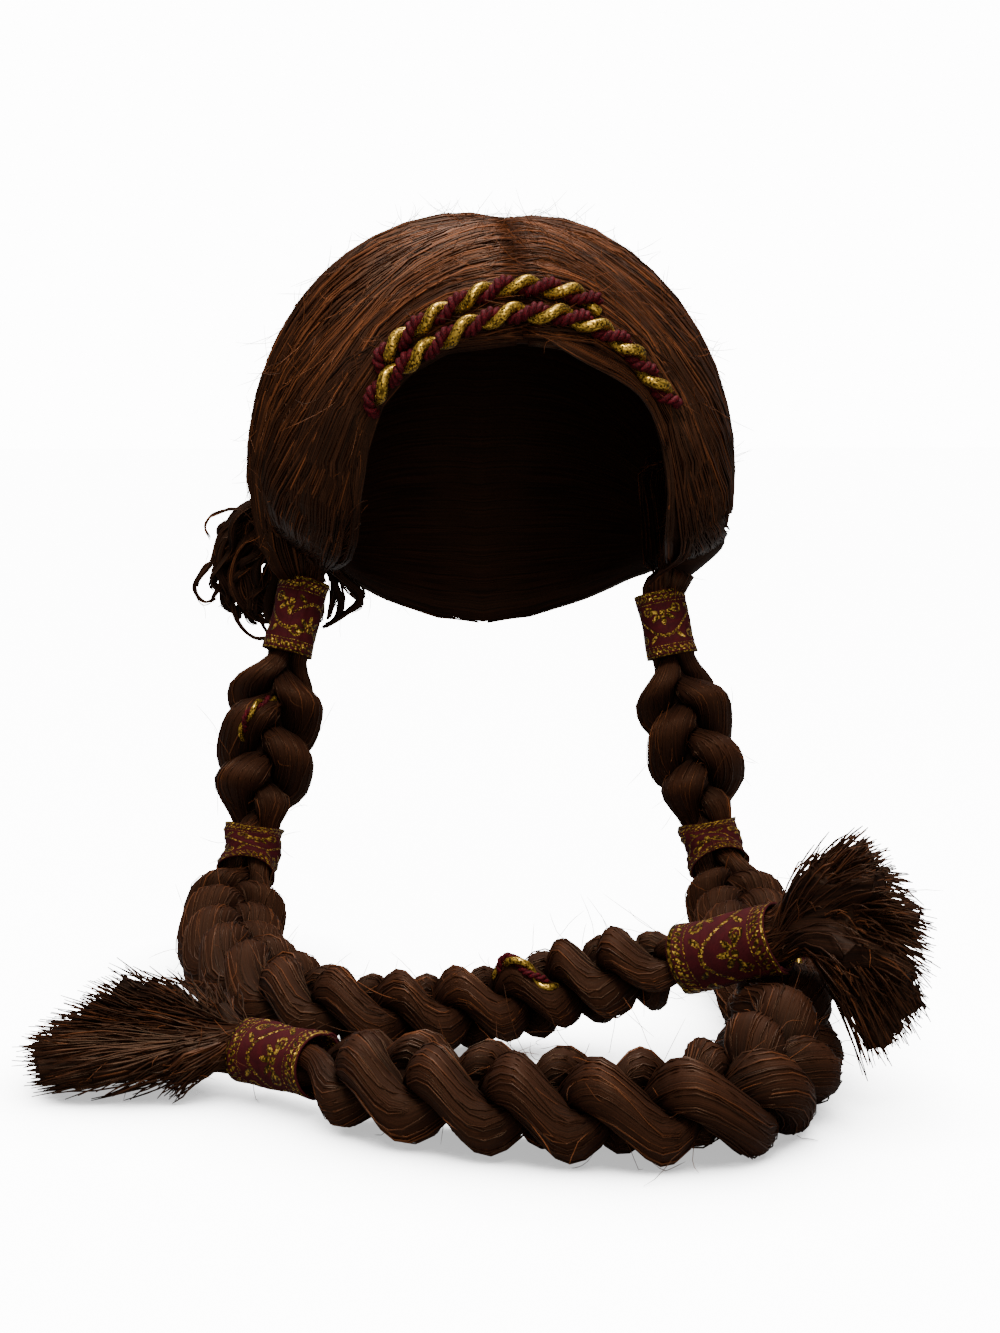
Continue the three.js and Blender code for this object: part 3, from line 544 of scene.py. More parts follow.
def wander(bodies, count, waves, size):
    """A slow random drift for each body, as bodies x count."""
    knots = chance.normal(0, size, (bodies, waves))
    at = np.linspace(0, waves - 1, count)
    low = np.minimum(at.astype(int), waves - 2)
    ease = smooth(at - low)
    return knots[:, low] * (1 - ease) + knots[:, low + 1] * ease


def painted_crest_shading(side, places, points):
    """Painted light: extra tone on the crests of the strands, a painted highlight, and less in the creases
    between them, a painted shade.
    """
    centre, _, wide, across = routes[side].at(places)
    offset = points - centre
    high = np.hypot((offset * wide).sum(axis=-1) / HALF_WIDE, (offset * across).sum(axis=-1) / HALF_DEEP)
    return (high / plait_size(side, places) - 0.75) * 0.5


FIBRES_PER_STRAND = 45
for side in ("right", "left"):
    route = routes[side]
    _, all_turns = plait_turns(side, 0.0)
    core_places = np.linspace(0, route.length, int(all_turns * 10))
    core = rings_along(route.at(core_places)[0][None], 0.0048 * plait_size(side, core_places)[None], 10)
    rings_piece(f"{side}_plait_core", f"{side}_strand_1", body_finish, core, [0.1])
    for strand in range(3):
        node = f"{side}_strand_{strand + 1}"
        rings_count = int(all_turns * 26)
        places = np.linspace(0, route.length, rings_count)
        angles = np.broadcast_to(2 * np.pi * np.arange(28)[:, None] / 28, (28, rings_count))
        furrow = 0.965 + 0.010 * np.sin(angles * 9 + 2 * strand) + 0.008 * np.sin(angles * 14 - 30 * places)
        body = strand_places(side, strand, places, angles, furrow).transpose(1, 0, 2)
        # The body's tone carries the painted highlight on the crests and the painted shade in the creases.
        body_tones = 0.24 + painted_crest_shading(side, places[:, None], body)
        rings_piece(f"{node}_body", node, body_finish, body[None], body_tones[None])
        fibres = thinned(FIBRES_PER_STRAND)
        steps = int(all_turns * 19)
        places = np.linspace(0, route.length, steps)
        start = 2 * np.pi * (np.arange(fibres) + chance.uniform(0, 1, fibres)) / fibres
        angles = start[:, None] + wander(fibres, steps, 24, 0.2)
        share = 0.975 + chance.uniform(-0.02, 0.02, fibres)[:, None] + wander(fibres, steps, 18, 0.02)
        paths = strand_places(side, strand, places, angles, share)
        tones = random_tones(fibres, 0.34, 0.07)
        # The fibres' tone carries the same painted highlight on the crests and painted shade in the creases.
        tones = tones[:, None] + wander(fibres, steps, 12, 0.06) + painted_crest_shading(side, places[None], paths)
        fibres_piece(f"{node}_fibres", node, paths, chance.uniform(0.0002, 0.00034, fibres), tones)

# The tufts: below the last cuff of each plait the hair is left loose and cut across, a bushy brush that
# fans out from the mouth of the cuff. The right one stands up and falls over, the left one lies flat.
TUFT_LENGTH, LOCK_THICKNESS = 0.056, 0.015
FIBRES_PER_TUFT = 1200
TUFT_REACH = {"right": 1.08, "left": 0.94}
# Corners of each tuft's cut edge seen from the mouth of its cuff, and their droop, in tuft lengths.
tuft_tables = {
    "right": table(
        "out up near droop",
        (0.26, 0.4, 0.05, 0.1),
        (0.46, 0.5, -0.15, 0.12),
        (0.62, 0.36, 0.1, 0.14),
        (0.74, 0.12, -0.1, 0.2),
        (0.78, -0.12, 0.12, 0.2),
        (0.74, -0.36, -0.05, 0.3),
        (0.62, -0.52, 0.1, 0.4),
        (0.55, 0, 0.3, 0.1),
        (0.55, 0, -0.35, 0.1)),
    "left": table(
        "out up near droop",
        (0.34, 0.22, -0.08, 0),
        (0.8, 0.22, -0.05, 0),
        (1.1, 0.22, 0, 0.02),
        (1.3, 0.05, 0.1, 0.04),
        (1.38, -0.08, 0.3, 0.04),
        (1.2, -0.1, 0.65, 0.02),
        (0.95, -0.1, 0.85, 0.02),
        (0.65, -0.1, 0.7, 0.02),
        (0.35, -0.08, 0.36, 0)),
}


def rounded_body(name, node, voxel, drawn_in, flow_of, tone, reach=1.0, fixed=(0, 0, 0), reshape=None):
    """The dark body under the fibres: the node's solid, rounded, drawn in a little and scaled from a fixed
    point."""
    shape = bpy.data.objects.new("shape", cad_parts[node].data.copy())
    bpy.context.scene.collection.objects.link(shape)
    remesh = shape.modifiers.new("remesh", "REMESH")
    remesh.mode = "VOXEL"
    remesh.voxel_size = voxel
    soften = shape.modifiers.new("soften", "SMOOTH")
    soften.factor = 0.5
    soften.iterations = 8
    shrink = shape.modifiers.new("shrink", "DISPLACE")
    shrink.strength = -drawn_in
    shrink.mid_level = 0
    made = shape.evaluated_get(bpy.context.evaluated_depsgraph_get()).to_mesh()
    points = np.empty(len(made.vertices) * 3, np.float32)
    made.vertices.foreach_get("co", points)
    points = fixed + (points.reshape(-1, 3) - fixed) * reach
    points = reshape(points) if reshape else points
    points[:, 2] = np.maximum(points[:, 2], 0.0005 - SURFACE_DROP)
    corners = np.empty(len(made.loops), np.int32)
    made.loops.foreach_get("vertex_index", corners)
    totals = np.empty(len(made.polygons), np.int32)
    made.polygons.foreach_get("loop_total", totals)
    starts = np.cumsum(totals) - totals
    bpy.data.objects.remove(shape)
    faces = [corners[starts[totals == n][:, None] + np.arange(n)] for n in (3, 4) if (totals == n).any()]
    flows = flow_of(points)[np.concatenate([part.ravel() for part in faces])]
    tones = tone(points) if callable(tone) else tone
    return add_piece(name, node, body_finish, points, faces, flows, tones)


def disc(count):
    """Random places in a unit disc, a little denser near its rim."""
    angle = chance.uniform(0, 2 * np.pi, count)
    reach = chance.uniform(0, 1, count) ** 0.4
    return np.stack([np.cos(angle), np.sin(angle)], -1) * reach[:, None]


tuft_paths = {}
for side, rows in tuft_tables.items():
    route = routes[side]
    cuff = cuffs[side, "end"]
    held = (cuff["bore"] - 0.0003) * 0.95
    inside, tangent, wide, across = route.at(route.length + 0.002)
    mouth, _, _, _ = route.at(route.length + cuff["length"] / 2)
    out = unit(np.array([tangent[0], tangent[1], 0.0]))
    near = np.cross([0.0, 0.0, 1.0], out) * (-1 if side == "right" else 1)
    fan = rows["out"][:, None] * out + rows["near"][:, None] * near
    fan = fan + rows["up"][:, None] * np.array([0, 0, 1.0])
    ends = mouth + TUFT_LENGTH * TUFT_REACH[side] * fan
    bends = mouth + (ends - mouth) * 0.55 + rows["droop"][:, None] * [0, 0, TUFT_LENGTH]
    fibres = thinned(FIBRES_PER_TUFT)
    first = chance.integers(0, len(ends), fibres)
    beside = chance.uniform(size=fibres) < 0.75
    second = np.where(beside, np.minimum(first + 1, len(ends) - 1), chance.integers(0, len(ends), fibres))
    mix = chance.uniform(0, 1, fibres)[:, None]
    end = ends[first] * (1 - mix) + ends[second] * mix
    bend = bends[first] * (1 - mix) + bends[second] * mix
    spot = disc(fibres)
    side_way = unit(np.cross(end - mouth, near))
    up_way = unit(np.cross(end - mouth, side_way))
    start = mouth + held * (spot[:, :1] * wide + spot[:, 1:] * across)
    spread = LOCK_THICKNESS / 2 * (spot[:, :1] * side_way + spot[:, 1:] * up_way)
    share = np.linspace(0, 1, 8)[None, :, None] * (1 + chance.normal(0, 0.022, fibres))[:, None, None]
    swell = 0.6 + 1.4 * share - share**2
    curve = (
        start[:, None] * (1 - share) ** 2 + 2 * share * (1 - share) * (bend[:, None] + spread[:, None] * 0.9)
        + share**2 * (end[:, None] + spread[:, None]))
    drift = np.stack([wander(fibres, 8, 5, 0.0009) for _ in range(3)], -1) * share
    frizz = chance.normal(0, 0.0008, (fibres, 1, 3)) * share**2
    lock_drift = np.stack([wander(len(ends), 8, 4, 0.0014) for _ in range(3)], -1)[first] * share
    drift = drift + lock_drift
    held_start = (inside + held * (spot[:, :1] * wide + spot[:, 1:] * across))[:, None]
    paths = np.concatenate([held_start, curve + (swell - 0.8) * spread[:, None] * 0.3 + drift + frizz], 1)
    paths[..., 2] = np.maximum(paths[..., 2], 0.0006 - SURFACE_DROP)
    tuft_paths[side] = paths
    tones = random_tones(fibres, 0.36, 0.13)
    thickness = chance.uniform(0.00026, 0.0004, fibres)
    fibres_piece(f"{side}_tuft_fibres", f"{side}_tuft", paths, thickness, tones, 0.5)

    def tuft_flow(points, mouth=mouth, near=near):
        away = points - mouth
        turned = np.arctan2(away[:, 2], away @ near + 1e-6)
        return np.stack([np.linalg.norm(away, axis=1) * 100, turned * 12], -1)

    reach = TUFT_REACH[side] * 1.01
    rounded_body(f"{side}_tuft_body", f"{side}_tuft", 0.0018, 0.0028, tuft_flow, 0.16, reach, mouth)

# The crown: long hair as one hollow shell, parted from the middle of the forehead to the nape. Each half
# is combed down over the ear and drawn together into the mouth of its first cuff.
HEAD_WIDTH, HEAD_DEPTH, DOME_HEIGHT = 0.152, 0.192, 0.100
NAPE_DROP, NAPE_TAPER, NAPE_TAPER_POWER = 0.165, 0.42, 1.3
TOP_HAIR, SIDE_HAIR, EDGE_HAIR, EDGE_ROUNDING = 0.009, 0.028, 0.003, 0.030
LEFT_FLATTER = 0.3
GATHER_AZIMUTH = 84.0
GATHER_SPREAD = math.radians(24)
FIBRES_PER_HALF = 1070
# By degrees round the head from the forehead: the free edge in nape drops, the hair in side hairs.
crown_table = table(
    "azimuth rim hair",
    (0, 0.27, 0.28), (24, 0.285, 0.28), (38, 0.34, 0.32), (46, 0.41, 0.42), (50, 0.52, 0.52),
    (53, 0.64, 0.62), (58, 0.73, 0.78), (65, 0.78, 0.94), (75, 0.8, 1), (95, 0.82, 1), (115, 0.86, 0.92),
    (138, 0.93, 0.76), (160, 0.98, 0.62), (180, 1, 0.58))


def angle_at(drop):
    """The angle down the dome at a drop below its top."""
    share = drop / DOME_HEIGHT
    return np.where(share <= 1, np.arccos(np.clip(1 - share, -1, 1)), np.pi / 2 + share - 1)


def rim_angle(azimuth):
    return angle_at(np.interp(np.abs(azimuth), crown_table["azimuth"], crown_table["rim"]) * NAPE_DROP)


def head_drop(angle):
    """The drop below the dome's top at an angle down the dome."""
    return DOME_HEIGHT * np.where(angle <= np.pi / 2, 1 - np.cos(angle), 1 + angle - np.pi / 2)


def head_spread(angle):
    """Share of its full width that the head has at an angle down the dome."""
    below = np.maximum(0, angle - np.pi / 2)
    return np.where(angle <= np.pi / 2, np.sin(angle), 1 - NAPE_TAPER * below**NAPE_TAPER_POWER)


def left_side(azimuth, drop):
    """How much of the left side's flatter lie a place takes, from 0 to 1."""
    round_the_side = smooth((azimuth - 10) / 45) * (1 - smooth((azimuth - 140) / 35))
    return round_the_side * smooth((drop + 0.005) / 0.03) * smooth((0.127 - drop) / 0.022)


def crown_hair(azimuth, angle):
    """Thickness of the hair, which grows from the top to the sides and rounds in at the free edge."""
    full = np.interp(np.abs(azimuth), crown_table["azimuth"], crown_table["hair"]) * SIDE_HAIR
    growth = np.sin(np.minimum(angle * 1.15, np.pi / 2)) ** 1.2
    bare = TOP_HAIR + (full - TOP_HAIR) * growth
    from_edge = np.maximum(0, (rim_angle(azimuth) - angle) * DOME_HEIGHT)
    rounding = np.sqrt(1 - (1 - np.minimum(from_edge / EDGE_ROUNDING, 1)) ** 2)
    thick = EDGE_HAIR + (bare - EDGE_HAIR) * rounding
    return thick * (1 - LEFT_FLATTER * left_side(azimuth, head_drop(angle)))


def head_point(azimuth, angle, lift):
    """A point of the head, at an azimuth from the forehead and an angle down the dome, moved out by lift."""
    turn = np.radians(azimuth)
    steep = np.minimum(angle, np.pi / 2)
    spread = head_spread(angle)
    point = np.stack([
        HEAD_WIDTH / 2 * np.sin(turn) * spread,
        -HEAD_DEPTH / 2 * np.cos(turn) * spread,
        -head_drop(angle)], -1)
    normal = unit(np.stack([
        np.sin(turn) * np.sin(steep) / HEAD_WIDTH, -np.cos(turn) * np.sin(steep) / HEAD_DEPTH,
        np.maximum(0, np.cos(angle)) / (2 * DOME_HEIGHT)], -1))
    return point + normal * np.asarray(lift)[..., None]


def gather_pole(side):
    turn = math.radians(GATHER_AZIMUTH)
    return np.array([math.sin(turn) * (-1 if side == "right" else 1), -math.cos(turn), 0.0])


def combed(side, start, share):
    """Azimuth and angle down the dome of hair that leaves the parting at start, 0 at the forehead and pi
    at the nape, after a share of its way to the gather."""
    root = np.stack([np.zeros_like(start), -np.cos(start), np.sin(start)], -1)
    pole = gather_pole(side)
    whole = np.arccos(np.clip(root @ pole, -1, 1))[..., None]
    gone = share[..., None] * whole
    way = (root * np.sin(whole - gone) + pole * np.sin(gone)) / np.sin(whole)
    azimuth = np.degrees(np.arctan2(way[..., 0], -way[..., 1]))
    level = np.arccos(np.clip(way[..., 2], 0, 1)) / (np.pi / 2)
    return azimuth, level * rim_angle(azimuth), whole[..., 0]


def crown_flow(points):
    azimuth = np.degrees(np.arctan2(points[:, 0] / HEAD_WIDTH, -points[:, 1] / HEAD_DEPTH))
    level = np.clip(angle_at(np.maximum(-points[:, 2], 0)) / rim_angle(azimuth), 0, 1) * np.pi / 2
    turn = np.radians(azimuth)
    way = np.stack([np.sin(turn) * np.sin(level), -np.cos(turn) * np.sin(level), np.cos(level)], -1)
    pole = gather_pole("left") * np.where(points[:, :1] < 0, [[-1.0, 1.0, 1.0]], [[1.0, 1.0, 1.0]])
    along = np.arccos(np.clip((way * pole).sum(axis=1), -1, 1)) * 10
    aside = unit(way - pole * (way * pole).sum(axis=1, keepdims=True))
    return np.stack([along, np.arctan2(aside[:, 2], aside[:, 1]) * 60], -1)


def flattened(points, amount):
    """Points of the crown's solid with the hair of the left side laid flatter by a share of its thickness."""
    azimuth = np.degrees(np.arctan2(points[:, 0] / HEAD_WIDTH, -points[:, 1] / HEAD_DEPTH))
    drop = -points[:, 2]
    reach = 2 * np.hypot(points[:, 0] / HEAD_WIDTH, points[:, 1] / HEAD_DEPTH)
    hair = np.maximum(reach - head_spread(angle_at(np.maximum(drop, 0))), 0) / np.maximum(reach, 1e-6)
    kept = 1 - hair * amount * left_side(azimuth, drop)
    return points * np.stack([kept, kept, np.ones(len(kept))], 1)


def flatter_body(points):
    """The body under the fibres lies flatter still, so that it doesn't show between them."""
    return flattened(points, 1.4 * LEFT_FLATTER)


rounded_body("crown_body", "crown_hair", 0.0045, 0.0012, crown_flow, 0.2, reshape=flatter_body)

crown_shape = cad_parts["crown_hair"].data
crown_corners = flattened(np.array([vertex.co for vertex in crown_shape.vertices]), LEFT_FLATTER)
crown_tree = BVHTree.FromPolygons(crown_corners.tolist(), [face.vertices for face in crown_shape.polygons])


def outside_crown(point, lift):
    """The point moved to the surface of the gathered hair if it lies inside it or stands far off it."""
    nearest, normal, _, _ = crown_tree.find_nearest(Vector(point))
    off = (Vector(point) - nearest).dot(normal)
    return nearest + normal * min(max(off, lift), 0.004)


def gathered_paths(side, start, lift, reach, waves):
    """Fibres that leave the parting, lie over the crown and run into the first cuff. lift is their height
    over the hair's surface, reach the share of the cuff's width that they end at."""
    count = len(start)
    over, into = 11, 7
    cuff = cuffs[side, "top"]
    _, _, whole = combed(side, start, np.zeros(count))
    last = 1 - GATHER_SPREAD / whole
    share = np.linspace(0, 1, over)[None] * last[:, None]
    lane = start[:, None] + np.radians(wander(count, over, 5, waves))
    lane = np.clip(lane, math.radians(0.7), math.radians(177.5))
    azimuth, angle, _ = combed(side, lane, share)
    dip = 0.0009 * np.exp(-share * 30)
    height = crown_hair(azimuth, angle) + lift[:, None] + wander(count, over, 5, 0.0004) - dip
    above = head_point(azimuth, angle, height)
    leave = unit(above[:, -1] - above[:, -2])
    mouth, down, wide, across = routes[side].at(-cuff["length"] / 2 + 0.002)
    outward = -1 if side == "right" else 1
    arrive = np.radians((np.degrees(start) - 90) * 1.6)
    rim = cuff["bore"] * 0.93 * reach
    spot = mouth + rim[:, None] * (
        np.cos(arrive)[:, None] * wide * outward * np.sign(wide[0]) - np.sin(arrive)[:, None] * across)
    span = np.linalg.norm(spot - above[:, -1], axis=1, keepdims=True)
    first, second = above[:, -1] + leave * span * 0.42, spot - down * span * 0.36
    t = (np.arange(1, into + 1) / into)[None, :, None]
    bezier = (above[:, -1:] * (1 - t) ** 3 + 3 * first[:, None] * t * (1 - t) ** 2
              + 3 * second[:, None] * t**2 * (1 - t) + spot[:, None] * t**3)
    for fibre, row in enumerate(bezier[:, :-1]):
        row[:] = [outside_crown(point, lift[fibre] + 0.0005) for point in row]
    return np.concatenate([above, bezier, (spot + down * 0.004)[:, None]], 1)


def top_light(height):
    """Painted light: extra tone for the top of the crown, a painted highlight where light falls from above,
    and less for the sides, a painted shade.
    """
    return 0.15 - 0.21 * smooth(-height / 0.10)


crown_paths = {}
for side in ("right", "left"):
    fibres = thinned(FIBRES_PER_HALF)
    start = np.pi * (np.arange(fibres) + chance.uniform(0, 1, fibres)) / fibres
    clump = np.sin(start * 37 + 1.3) + np.sin(start * 61 + 0.4) + 0.8 * np.sin(start * 113)
    lift = 0.0002 + 0.0003 * clump + chance.uniform(-0.0008, 0.0006, fibres)
    paths = gathered_paths(side, start, lift, chance.uniform(0.8, 1.0, fibres), 1.6)
    crown_paths[side] = paths
    tones = random_tones(fibres, 0.4 + 0.05 * clump)
    # The crown's fibres are painted lighter at the top and darker down the sides: painted light and shade.
    tones = tones[:, None] + wander(fibres, paths.shape[1], 8, 0.08) + top_light(paths[..., 2])
    thickness = chance.uniform(0.0003, 0.00046, fibres)
    fibres_piece(f"crown_{side}_fibres", "crown_hair", paths, thickness, tones)

# The cap: the closed base of hair that the crown's combed fibres lie on, even all round. It reaches from
# the top down to the crown's thin free edge, at the face and at the nape.
turned = np.linspace(-180, 180, 97)[:, None]
level = np.linspace(0.02, 1, 22)[None]
cap_angle = level * rim_angle(turned)
cap_lift = np.maximum(crown_hair(turned, cap_angle) - 0.0024, 0.0016)
cap_outside = head_point(turned + 0 * level, cap_angle, cap_lift)
cap_inside = head_point(turned + 0 * level, cap_angle, np.full(cap_angle.shape, 0.0004))
cap_points = np.concatenate([cap_outside, cap_inside[:, ::-1]], 1)[:-1]
number = np.arange(96 * 44).reshape(96, 44)
following = np.roll(number, -1, 0)
cap_faces = np.stack([number[:, :-1], number[:, 1:], following[:, 1:], following[:, :-1]], -1).reshape(-1, 4)
cap_ends = np.stack([number[::-1, 0], number[:, -1]])
cap_flow = crown_flow(cap_points.reshape(-1, 3))
cap_corners = np.concatenate([cap_faces.ravel(), cap_ends.ravel()])
add_piece("crown_cap", "crown_hair", body_finish, cap_points.reshape(-1, 3), [cap_faces, cap_ends],
          cap_flow[cap_corners], 0.2)

# The edge: fibres that run along the free edge of the crown, round the face and over the nape. They are
# combed along it and close it off, so the hair's cut roots don't show.
for side, outward in (("right", -1), ("left", 1)):
    edge_turn = np.concatenate([np.linspace(2, 44, 12), np.linspace(46, 60, 12), np.linspace(64, 178, 20)])
    spot = chance.uniform(0.1, 1, (thinned(30), 1))
    edge_lift = 0.0002 + 0.0034 * spot + wander(len(spot), 44, 12, 0.0003)
    edge_angle = rim_angle(edge_turn)[None] + (0.0005 - 0.0024 * np.maximum(0, spot * 1.4 - 1)) / DOME_HEIGHT
    edge_angle = edge_angle + wander(len(spot), 44, 12, 0.0002) / DOME_HEIGHT
    edge_paths = head_point(np.broadcast_to(edge_turn * outward, edge_angle.shape), edge_angle, edge_lift)
    edge_tones = random_tones(len(spot), 0.3)
    fibres_piece(f"crown_{side}_edge_fibres", "crown_hair", edge_paths, 0.00036, edge_tones)

# The temple hair: fibres that run down beside the face, over the steep side of the opening. They belong
# to the front of the crown and are combed back into the gathers.
edge_line = np.linspace(28, 76, 60)
edge_place = np.stack([np.radians(edge_line) * HEAD_WIDTH * 0.56, rim_angle(edge_line) * DOME_HEIGHT], 1)
edge_way = unit(np.gradient(edge_place, axis=0))
for side, outward in (("right", -1), ("left", 1)):
    inward = chance.uniform(0.0002, 0.014, (thinned(80), 1, 1))
    inward = inward + wander(thinned(80), 60, 6, 0.0008)[..., None]
    place = edge_place[None] + inward * np.stack([edge_way[:, 1], -edge_way[:, 0]], 1)[None]
    temple_turn = np.degrees(place[:, ::4, 0] / (HEAD_WIDTH * 0.56))
    temple_angle = place[:, ::4, 1] / DOME_HEIGHT
    lift = crown_hair(temple_turn * outward, temple_angle) + chance.uniform(0.0003, 0.0010, (len(place), 1))
    temple_paths = head_point(temple_turn * outward, temple_angle, lift)
    temple_tones = random_tones(len(place), 0.3)
    fibres_piece(f"crown_{side}_temple_fibres", "crown_hair", temple_paths, 0.00036, temple_tones)

# The gathers: between the crown and the first cuff the hair draws in all round to the cuff's mouth, as
# pulled hair does above a tie.
gathers = {}
for side in ("right", "left"):
    outward = -1 if side == "right" else 1
    root = np.array(GATHER_AZIMUTH * outward), np.array(0.62 * rim_angle(GATHER_AZIMUTH))
    top = head_point(*root, crown_hair(*root) / 2)
    mouth, down, _, _ = routes[side].at(-cuffs[side, "top"]["length"] / 2 + 0.001)
    axis = unit(mouth - top)
    beside = unit(np.cross(axis, [0.0, 1.0, 0.0]))
    front = np.cross(beside, axis)
    gather_paths = []
    turns = np.linspace(0, 2 * np.pi, thinned(250), endpoint=False) + chance.normal(0, 0.02, thinned(250))
    for turn in turns:
        path = []
        for share in np.linspace(1, chance.uniform(0.0, 0.18), 11):
            spread = turn + 0.12 * math.sin(3 * share + 5 * turn)
            arm = beside * math.cos(spread) + front * math.sin(spread)
            middle = top + (mouth - top) * share
            hit, _, _, reach = crown_tree.ray_cast(Vector(middle), Vector(arm))
            if hit is None or reach > 0.06:
                break
            path.append(middle + arm * (reach + 0.0006))
        if len(path) > 3:
            gather_paths.append(evenly(line_through(path[::-1], 4), 11)[0])
    gather_paths = np.array(gather_paths)
    gathers[side] = gather_paths
    gather_tones = random_tones(len(gather_paths), 0.38)
    fibres_piece(f"{side}_gather_fibres", "crown_hair", gather_paths, 0.00036, gather_tones)

# The front lock: a thin lock of the left half is combed along under the lower cord and over the temple.
# It leaves the parting just above the hairline and lies close to the edge of the opening.
lock_way = table(
    "azimuth drop half", (1.5, 0.25, 0.001), (8, 0.262, 0.002), (14, 0.28, 0.0032), (20, 0.299, 0.004),
    (26, 0.317, 0.0044), (32, 0.338, 0.0044), (38, 0.366, 0.004), (44, 0.42, 0.004), (48, 0.5, 0.003))
fibres = thinned(110)
spot = disc(fibres)
lane = np.clip(spot[:, :1] + wander(fibres, 9, 4, 0.12), -1.1, 1.1)
lock_angle = angle_at(lock_way["drop"] * NAPE_DROP)[None] + lane * lock_way["half"] / DOME_HEIGHT
lock_lift = EDGE_HAIR + 0.0004 + spot[:, 1:] * 0.0011 + wander(fibres, 9, 4, 0.0002)
lock_paths = head_point(np.broadcast_to(lock_way["azimuth"], lock_angle.shape), lock_angle, lock_lift)
lock_paths = np.stack([evenly(line_through(path, 3), 16)[0] for path in lock_paths])
lock_tones = random_tones(fibres, 0.48, 0.14)
lock_thickness = chance.uniform(0.0003, 0.00042, fibres)
fibres_piece("front_lock_fibres", "crown_hair", lock_paths, lock_thickness, lock_tones)

# The side locks: shorter hair of the crown that has worked loose over the ears, in small flat locks that
# leave the combed hair a little.
for side in ("right", "left"):
    flicks = []
    for lock in range(12):
        count = 14
        start = math.radians(chance.uniform(52, 128)) + chance.normal(0, 0.035, count)
        share = np.linspace(0.3, chance.uniform(0.6, 0.76), 11)[None] * np.ones((count, 1))
        share = share * (1 + chance.normal(0, 0.06, count)[:, None])
        azimuth, angle, _ = combed(side, np.repeat(start[:, None], 11, 1) + wander(count, 11, 4, 0.02), share)
        ramp = np.linspace(0, 1, 11)[None]
        rise = 0.0003 + chance.uniform(0.0002, 0.0010) * ramp**2.2 + chance.uniform(0, 0.0006, count)[:, None]
        hair = crown_hair(azimuth, np.minimum(angle, rim_angle(azimuth)))
        flicks.append(head_point(azimuth, angle, hair + rise + wander(count, 11, 4, 0.0005)))
    flicks = np.concatenate(flicks)
    tones = random_tones(len(flicks), 0.42, 0.13)
    thickness = chance.uniform(0.00026, 0.0004, len(flicks))
    fibres_piece(f"crown_{side}_side_locks", "crown_hair", flicks, thickness, tones)

# The nape curls: short hair that slipped out behind the right gather and keeps its curl, a thick bunch of
# small locks that swing out, back and under the cuff in hooks, with a few that hang in open loops.
CURL_LOCKS, FIBRES_PER_LOCK, CURL_POINTS = 56, 6, 25


def curl_line(corners):
    """A line through corners given as shares of the crown's half width, half depth and drop."""
    corners = np.array(corners) * [CROWN_HALF, HEAD_DEPTH / 2, -NAPE_DROP]
    return evenly(line_through(corners, 12), CURL_POINTS)[0]


curl_lines = [curl_line(corners) for corners in (
    ((-0.92, 0.38, 0.66), (-1.06, 0.39, 0.69), (-1.14, 0.4, 0.75),
     (-1.16, 0.4, 0.83), (-1.21, 0.4, 0.87), (-1.19, 0.4, 0.91)),
    ((-0.88, 0.35, 0.7), (-1.0, 0.36, 0.76), (-1.06, 0.37, 0.85),
     (-1.04, 0.37, 0.92), (-0.97, 0.36, 0.96), (-0.9, 0.35, 0.95)),
    ((-0.84, 0.3, 0.78), (-0.93, 0.3, 0.84), (-0.94, 0.3, 0.91),
     (-0.88, 0.3, 0.96), (-0.8, 0.29, 0.98), (-0.73, 0.28, 0.97)),
    ((-0.74, 0.24, 0.79), (-0.64, 0.24, 0.82), (-0.56, 0.24, 0.87),
     (-0.55, 0.24, 0.92), (-0.62, 0.25, 0.96), (-0.72, 0.26, 0.97)))]
curl_share = np.linspace(0, 1, CURL_POINTS)[:, None]
lock_lines = []
for lock in range(CURL_LOCKS):
    first = (0, 1, 0, 1, 2)[lock % 5]
    between = chance.uniform(-0.05, 1.0)
    line = curl_lines[first] * (1 - between) + curl_lines[first + 1] * between
    last = chance.uniform(0.65, 1.0)
    places = curl_share[:, 0]
    line = np.stack([np.interp(places * last, places, line[:, axis]) for axis in range(3)], 1)
    ring = 2 * np.pi * (curl_share * chance.uniform(0.7, 1.7) * chance.choice([-1, 1]) + chance.uniform())
    coil = chance.uniform(0.0012, 0.0020 if first == 2 else 0.0036)
    coil = coil * np.hstack([np.cos(ring), 0.7 * np.sin(ring + 0.6), np.sin(ring)])
    scatter = np.array([0.0018, 0.004, 0.0022]) * (0.4 if first == 2 else 1.0)
    lock_lines.append(line + coil * np.minimum(1, 0.25 + curl_share * 2) + chance.normal(0, scatter))
loops = (
    ((-1.03, 0.35, 0.85), (-1.08, 0.36, 0.92), (-1.05, 0.36, 0.985), (-0.98, 0.35, 1.015), (-0.9, 0.34, 1.0)),
    ((-0.95, 0.36, 0.68), (-1.07, 0.37, 0.675), (-1.16, 0.38, 0.69), (-1.19, 0.38, 0.72),
     (-1.17, 0.38, 0.75)),
    ((-1.12, 0.38, 0.8), (-1.2, 0.38, 0.83), (-1.24, 0.39, 0.88), (-1.2, 0.39, 0.92), (-1.15, 0.38, 0.91)))
lock_lines = np.array(lock_lines + [curl_line(corners) for corners in loops])
thickness = np.where(np.arange(len(lock_lines)) < CURL_LOCKS, 1.0, 0.35)[:, None]
taper = np.interp(curl_share[:, 0], [0, 0.5, 1], [1.1, 1, 0.4])[None] * thickness
lock_rings = rings_along(lock_lines, 0.0019 * taper, 6)
rings_piece("nape_curl_locks", "nape_curls", body_finish, lock_rings, 0.14)
spot = disc(len(lock_lines) * FIBRES_PER_LOCK).reshape(len(lock_lines), FIBRES_PER_LOCK, 1, 2)
